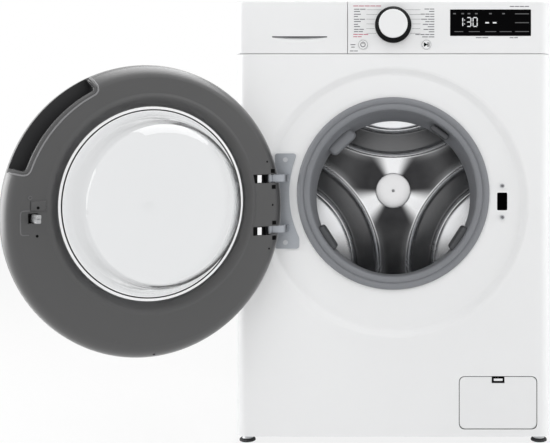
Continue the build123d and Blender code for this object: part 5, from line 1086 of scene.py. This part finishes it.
class WASHER_OT_feet(bpy.types.Operator):
    """Turn a levelling foot with its rubber pad and threaded stud, and set one at each corner"""

    bl_idname = "washer.feet"
    bl_label = "Levelling feet"

    def execute(self, context):
        low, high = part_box(FEET[0])
        pad, top = (high[0] - low[0]) / 2, high[2]
        stud, pitch, cut, thread_z, plain_z = 0.0045, 0.0015, 0.16, 0.0122, 0.013
        turns = int((top - plain_z) / pitch)
        thread = [(stud * (1 - cut * (n % 2)), thread_z + pitch / 2 * n) for n in range(2 * turns)]
        profile = [(0.0, 0.0), (pad * 0.86, 0.0), (pad, 0.0012), (pad, 0.0034), (pad * 0.93, 0.0052),
                   (pad * 0.70, 0.0064), (pad * 0.66, 0.0078), (pad * 0.62, 0.0118)]
        model = turned(profile + thread + [(stud * 0.8, top), (0.0, top)], (0, 0, 0), 40, closed=False)
        model.data.transform(Matrix.Rotation(pi / 2, 4, "X"))
        for name in FEET:
            place = middle(name)
            foot = copy_of(model, Matrix.Translation((place.x, place.y, 0)))
            finished(foot, name + "_turned", "foot_rubber", name, 35.0, (name,))
        bpy.data.objects.remove(model)
        return {"FINISHED"}


class WASHER_OT_springs(bpy.types.Operator):
    """Wind the two suspension springs"""

    bl_idname = "washer.springs"
    bl_label = "Suspension springs"

    def execute(self, context):
        wire = context.scene.washer_sizes.wire
        low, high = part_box("suspension_springs")
        coil_r, tube_wide, turns, steps = 0.012 - wire / 2, 0.027, 26, 20
        at_y = (low[1] + high[1]) / 2
        begin()
        bpy.ops.mesh.primitive_circle_add(
            vertices=8, radius=wire / 2, fill_type="NOTHING",
            location=(coil_r, 0, 0), rotation=(pi / 2, 0, 0),
        )
        coil = bpy.context.object
        bpy.ops.object.transform_apply(location=True, rotation=True, scale=True)
        screw = coil.modifiers.new("wind", "SCREW")
        screw.axis = "Z"
        screw.angle = 2 * pi
        screw.screw_offset = (high[2] - low[2] - wire) / turns
        screw.iterations = turns
        screw.steps = steps
        screw.render_steps = steps
        screw.use_smooth_shade = True
        bpy.ops.object.modifier_apply(modifier=screw.name)
        # Close the wire's two ends
        bpy.ops.object.mode_set(mode="EDIT")
        bpy.ops.mesh.select_all(action="DESELECT")
        bpy.ops.mesh.select_mode(type="EDGE")
        bpy.ops.mesh.select_non_manifold()
        bpy.ops.mesh.edge_face_add()
        bpy.ops.mesh.select_mode(type="VERT")
        tidy_mesh(1e-6)
        bpy.ops.object.mode_set(mode="OBJECT")
        sides = []
        for hand in (-1, 1):
            place = hand * (high[0] - low[0] - tube_wide) / 2
            sides.append(copy_of(coil, Matrix.Translation((place, at_y, low[2] + wire / 2))))
        bpy.data.objects.remove(coil)
        springs = joined(sides)
        finished(
            springs, "suspension_coils", "bright_wire", None, 60.0, ("suspension_springs",)
        )
        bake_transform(springs)
        return {"FINISHED"}


class WASHER_OT_hoses(bpy.types.Operator):
    """Rib the two rubber hoses between dispenser, tub and pump"""

    bl_idname = "washer.hoses"
    bl_label = "Inner hoses"

    def execute(self, context):
        bend, step, narrow = 0.040, 0.002, 0.9
        low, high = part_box("fill_hose")
        radius = (high[0] - low[0]) / 2
        axis = middle("fill_hose")
        fill_line = [Vector((axis.x, axis.y, low[2])), Vector((axis.x, axis.y, high[2]))]
        low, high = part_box("sump_hose")
        top = Vector((low[0] + radius, high[1] - radius, high[2]))
        turn = Vector((top.x, top.y, low[2] + radius))
        side = Vector((top.x, low[1] + radius, turn.z))
        sump_line = cornered([top, turn, side, Vector((high[0], side.y, side.z))], bend)
        for node, line, end in (("fill_hose", fill_line, fill_line[-1]), ("sump_hose", sump_line, turn)):
            points = evenly(line, step)
            swell = [1.0 if place % 4 < 2 else narrow for place in range(len(points))]
            hose = tube(points, radius, swell)
            finished(hose, node + "_ribs", "black_rubber", None, 60.0, (node,))
            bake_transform(hose)
        return {"FINISHED"}


class WASHER_OT_marks(bpy.types.Operator):
    """Print the programme marks and leader lines on the fascia"""

    bl_idname = "washer.marks"
    bl_label = "Fascia marks"

    def execute(self, context):
        sizes = context.scene.washer_sizes
        tall, lift = sizes.mark_line, sizes.mark_lift
        dash, gap, leader = 0.010, 0.0012, 0.0005
        left_edge, accent_edge, right_edge = -0.0748, -0.0762, 0.0784
        knob_clear, knob_near = 0.0362, 0.020
        plain, accent = [], []

        def words(left, width, level, into):
            """A row of dashes."""
            count = max(1, round(width / dash))
            each = (width - gap * (count - 1)) / count
            for n in range(count):
                into.append(bar(left + n * (each + gap), each, level, tall))

        left_widths = (0.022, 0.0115, 0.013, 0.0076, 0.021, 0.013, 0.0076, 0.0115, 0.019, 0.017)
        for n, width in enumerate(left_widths):
            words(left_edge, width, 0.8331 - n // 2 * 0.0096 - n % 2 * 0.0043, plain)
        for width, level in ((0.053, 0.8393), (0.0286, 0.7850), (0.016, 0.7806)):
            words(accent_edge, width, level, accent)
        right_widths = (
            0.0187, 0.010, 0.026, 0.017, 0.025, 0.017, 0.022, 0.0124, 0.0206, 0.0105, 0.036, 0.023,
        )
        for n, width in enumerate(right_widths):
            words(right_edge - width, width, 0.8334 - n // 2 * 0.0097 - n % 2 * 0.0046, plain)
        for row in range(6):
            level = 0.8321 - row * 0.0090
            near = sqrt(max(knob_near ** 2, knob_clear ** 2 - (level - KNOB_Z) ** 2))
            plain.append(bar(-0.0510, 0.0510 - near, level, leader))
            plain.append(bar(near, 0.0520 - near, level, leader))
        for left, width, level in (
            (0.2225, 0.0365, 0.8385), (0.1575, 0.0235, 0.7788), (0.2222, 0.0156, 0.7788),
            (-0.0815, 0.0095, 0.7655), (-0.0800, 0.0065, 0.7608), (-0.0825, 0.0150, 0.7535),
        ):
            words(left, width, level, plain)
        finished(bars_piece(plain, lift), "programme_marks", "print_ink_and_painted_shade", "cabinet")
        finished(bars_piece(accent, lift), "accent_marks", "accent_ink", "cabinet")
        return {"FINISHED"}


class WASHER_OT_symbols(bpy.types.Operator):
    """Print a power sign, a start arrow and an outline on the two buttons"""

    bl_idname = "washer.symbols"
    bl_label = "Button symbols"

    def execute(self, context):
        # Both buttons' faces lie in one plane
        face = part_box("power_button")[0][1]
        lift = context.scene.washer_sizes.mark_lift
        ring = printed_ring(POWER, face, lift, 0.0035, 0.0050, 48)
        carve(ring, slab((POWER.x - 0.0014, face - 0.001, POWER.z + 0.001),
                         (POWER.x + 0.0014, face + 0.001, POWER.z + 0.007)))
        stroke = slab((POWER.x - 0.0008, face - lift, POWER.z + 0.0010),
                      (POWER.x + 0.0008, face, POWER.z + 0.0058))
        finished(joined([ring, stroke]), "power_symbol", "print_ink_and_painted_shade", "power_button")
        begin()
        bpy.ops.mesh.primitive_cylinder_add(
            vertices=3, radius=0.0050, depth=lift,
            location=(START.x - 0.0026, face - lift / 2, START.z), rotation=(pi / 2, pi / 2, 0),
        )
        arrow = bpy.context.object
        softened(arrow, 0.00008, 1)
        strokes = [arrow]
        for x in (0.0018, 0.0041):
            strokes.append(slab((START.x + x, face - lift, START.z - 0.0042),
                                (START.x + x + 0.0013, face, START.z + 0.0042)))
        finished(joined(strokes), "start_symbol", "black_print_and_painted_shade", "start_button")
        for name, place in (("power", POWER), ("start", START)):
            line = printed_ring(place, face, lift, 0.0083, 0.0088, 64)
            finished(line, name + "_outline", "print_ink_and_painted_shade", name + "_button")
        return {"FINISHED"}


class WASHER_OT_display(bpy.types.Operator):
    """Light plain digits and indicator bars on the display glass"""

    bl_idname = "washer.display"
    bl_label = "Display digits"

    def execute(self, context):
        lift = context.scene.washer_sizes.mark_lift
        tall, wide, stroke = 0.0186, 0.0095, 0.0017
        shapes = {"0": "abcdef", "1": "bc", "3": "abcdg"}
        bars = []

        def digit(left, low, figure):
            """The lit bars of one figure."""
            half = low + tall / 2
            marks = {
                "a": (left + stroke, left + wide - stroke, low + tall - stroke, low + tall),
                "g": (left + stroke, left + wide - stroke, half - stroke / 2, half + stroke / 2),
                "d": (left + stroke, left + wide - stroke, low, low + stroke),
                "b": (left + wide - stroke, left + wide, half + stroke / 2, low + tall - stroke),
                "c": (left + wide - stroke, left + wide, low + stroke, half - stroke / 2),
                "f": (left, left + stroke, half + stroke / 2, low + tall - stroke),
                "e": (left, left + stroke, low + stroke, half - stroke / 2),
            }
            bars.extend(marks[name] for name in shapes[figure])

        for left, figure in ((0.1240, "1"), (0.1395, "3"), (0.1515, "0")):
            digit(left, 0.7994, figure)
        for level in (0.8050, 0.8124):
            bars.append(bar(0.1352, 0.0016, level, 0.0016))
        for left in (0.1757, 0.1900):
            bars.append(bar(left, 0.0070, 0.8073, 0.0026))
        dim = []
        for left, right in ((0.1168, 0.1336), (0.1441, 0.1651), (0.1756, 0.1966), (0.2030, 0.2261)):
            dim.append(bar(left, right - left, 0.7904, 0.0012))
        for level in (0.8243, 0.8074, 0.7905):
            dim.append(bar(0.2324, 0.0266, level, 0.0014))
        for left in (0.1145, 0.1300, 0.1420, 0.1560, 0.1830, 0.2080):
            dim.append(bar(left, 0.0050, 0.82465, 0.0023))
        ahead = Matrix.Translation((0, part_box("display_window")[0][1] - FRONT, 0))
        for name, shape, finish in (
            ("display_digits", bars, "lit_segment"), ("display_labels", dim, "dim_segment"),
        ):
            piece = bars_piece(shape, lift)
            piece.data.transform(ahead)
            finished(piece, name, finish, "cabinet")
        return {"FINISHED"}


# The studio

WHITE = (1.0, 1.0, 1.0, 1.0)


def seen_rays(tree, straight=1.0):
    """How far a ray comes straight from the camera, off a gloss or through glass."""
    path = tree.nodes.new("ShaderNodeLightPath")
    rays = Shade(tree, path.outputs["Is Camera Ray"]) * straight
    rays = rays + Shade(tree, path.outputs["Is Glossy Ray"])
    return rays + Shade(tree, path.outputs["Is Transmission Ray"])


def pale_floor():
    """A pale floor that looks white and keeps the machine's shadow."""
    begin()
    bpy.ops.mesh.primitive_plane_add(size=16.0, location=(0, 2.0, 0))
    floor = bpy.context.object
    bpy.ops.object.transform_apply(location=True)
    floor.name = "studio_floor"
    pale = Finish("studio_floor", Roughness=0.9)
    pale.feed("Base Color", pale.between(pale.noise(3.0), (0.90, 0.90, 0.90), (0.93, 0.93, 0.93)))
    glow = pale.node("ShaderNodeEmission", sockets={"Color": WHITE, "Strength": 1.0})
    dull = Shade(pale.tree, pale.shader.outputs[0])
    # A fifth of what the camera sees straight on stays plain floor, so that the shadow shows
    mixed = pale.node("ShaderNodeMixShader", sockets={0: seen_rays(pale.tree, 0.8), 1: dull, 2: glow})
    join(pale.tree, mixed, pale.tree.nodes["Material Output"].inputs["Surface"])
    floor.data.materials.append(pale.material)


def soft_world(scene):
    """Even light from all round, white where it is seen."""
    world = bpy.data.worlds.new("studio_world")
    world.use_nodes = True
    scene.world = world
    tree = world.node_tree
    soft = tree.nodes["Background"]
    soft.inputs["Color"].default_value = WHITE
    soft.inputs["Strength"].default_value = 0.64
    white = tree.nodes.new("ShaderNodeBackground")
    white.inputs["Color"].default_value = WHITE
    blend = tree.nodes.new("ShaderNodeMixShader")
    join(tree, seen_rays(tree), blend.inputs[0])
    tree.links.new(soft.outputs[0], blend.inputs[1])
    tree.links.new(white.outputs[0], blend.inputs[2])
    tree.links.new(blend.outputs[0], tree.nodes["World Output"].inputs["Surface"])


def area_lamps():
    """Softboxes that light the machine, and cards that only its gloss shows."""
    for name, power, size, place, aim, card in (
        ("top_softbox", 27.0, 2.2, (-0.4, -2.4, 2.6), (0, 0, 0.45), False),
        ("left_softbox", 24.0, 1.4, (-2.5, -0.6, 0.9), (0, -0.2, 0.45), False),
        ("right_softbox", 24.0, 1.4, (2.5, -0.6, 0.9), (0, -0.2, 0.45), False),
        ("top_card", 50.0, 2.2, (0.2, 0.1, 2.4), (-0.4, -0.5, 0.7), True),
        ("left_card", 40.0, 2.0, (-2.5, -0.5, 0.8), (-0.6, -0.6, 0.5), True),
    ):
        lamp = bpy.data.lights.new(name, "AREA")
        lamp.energy = power
        lamp.size = size
        box = bpy.data.objects.new(name, lamp)
        box.location = place
        box.rotation_euler = (Vector(aim) - Vector(place)).to_track_quat("-Z", "Y").to_euler()
        box.visible_camera = False
        box.visible_glossy = card
        box.visible_diffuse = not card
        box.visible_transmission = False
        bpy.context.collection.objects.link(box)


def photo_camera(scene):
    """The camera, level and square to the front, its picture shifted as in the photo."""
    lens = bpy.data.cameras.new("photo_camera")
    lens.lens = 63.4
    lens.sensor_width = 36.0
    lens.shift_x = -0.2149
    lens.shift_y = -0.1304
    camera = bpy.data.objects.new("photo_camera", lens)
    camera.location = (0.0, FRONT - CAMERA_AWAY, CAMERA_Z)
    camera.rotation_euler = (pi / 2, 0.0, 0.0)
    bpy.context.collection.objects.link(camera)
    scene.camera = camera


class WASHER_OT_stage(bpy.types.Operator):
    """Set the pale floor, soft studio light and the camera"""

    bl_idname = "washer.stage"
    bl_label = "Studio"

    def execute(self, context):
        context.scene.view_settings.view_transform = "Standard"
        pale_floor()
        soft_world(context.scene)
        area_lamps()
        photo_camera(context.scene)
        return {"FINISHED"}


class WASHER_PT_pieces(bpy.types.Panel):
    """The machine's pieces, in the order they are made"""

    bl_idname = "WASHER_PT_pieces"
    bl_label = "Washing machine"
    bl_space_type = "VIEW_3D"
    bl_region_type = "UI"
    bl_category = "Washer"

    def draw(self, context):
        for group in (context.scene.washer_colours, context.scene.washer_sizes):
            for setting in group.__annotations__:
                self.layout.prop(group, setting)
        for step in STEPS:
            self.layout.operator(step.bl_idname)


STEPS = (
    WASHER_OT_finishes,
    WASHER_OT_drum_back,
    WASHER_OT_hub,
    WASHER_OT_seal,
    WASHER_OT_nozzles,
    WASHER_OT_glass,
    WASHER_OT_handle,
    WASHER_OT_latch_plate,
    WASHER_OT_door_holes,
    WASHER_OT_hinge_stops,
    WASHER_OT_screw_plugs,
    WASHER_OT_hook,
    WASHER_OT_catch,
    WASHER_OT_screw_recesses,
    WASHER_OT_grip,
    WASHER_OT_flap_seam,
    WASHER_OT_feet,
    WASHER_OT_springs,
    WASHER_OT_hoses,
    WASHER_OT_marks,
    WASHER_OT_symbols,
    WASHER_OT_display,
    WASHER_OT_stage,
)
CLASSES = (WasherColours, WasherSizes, *STEPS, WASHER_PT_pieces)


def register():
    """Add the settings, operators and panel."""
    for part in CLASSES:
        bpy.utils.register_class(part)
    bpy.types.Scene.washer_colours = bpy.props.PointerProperty(type=WasherColours)
    bpy.types.Scene.washer_sizes = bpy.props.PointerProperty(type=WasherSizes)


def unregister():
    """Take them away again."""
    del bpy.types.Scene.washer_sizes
    del bpy.types.Scene.washer_colours
    for part in reversed(CLASSES):
        bpy.utils.unregister_class(part)


def main():
    """Make every piece in order."""
    register()
    for step in STEPS:
        group, name = step.bl_idname.split(".")
        getattr(getattr(bpy.ops, group), name)()
    begin()


if __name__ == "__main__":
    main()
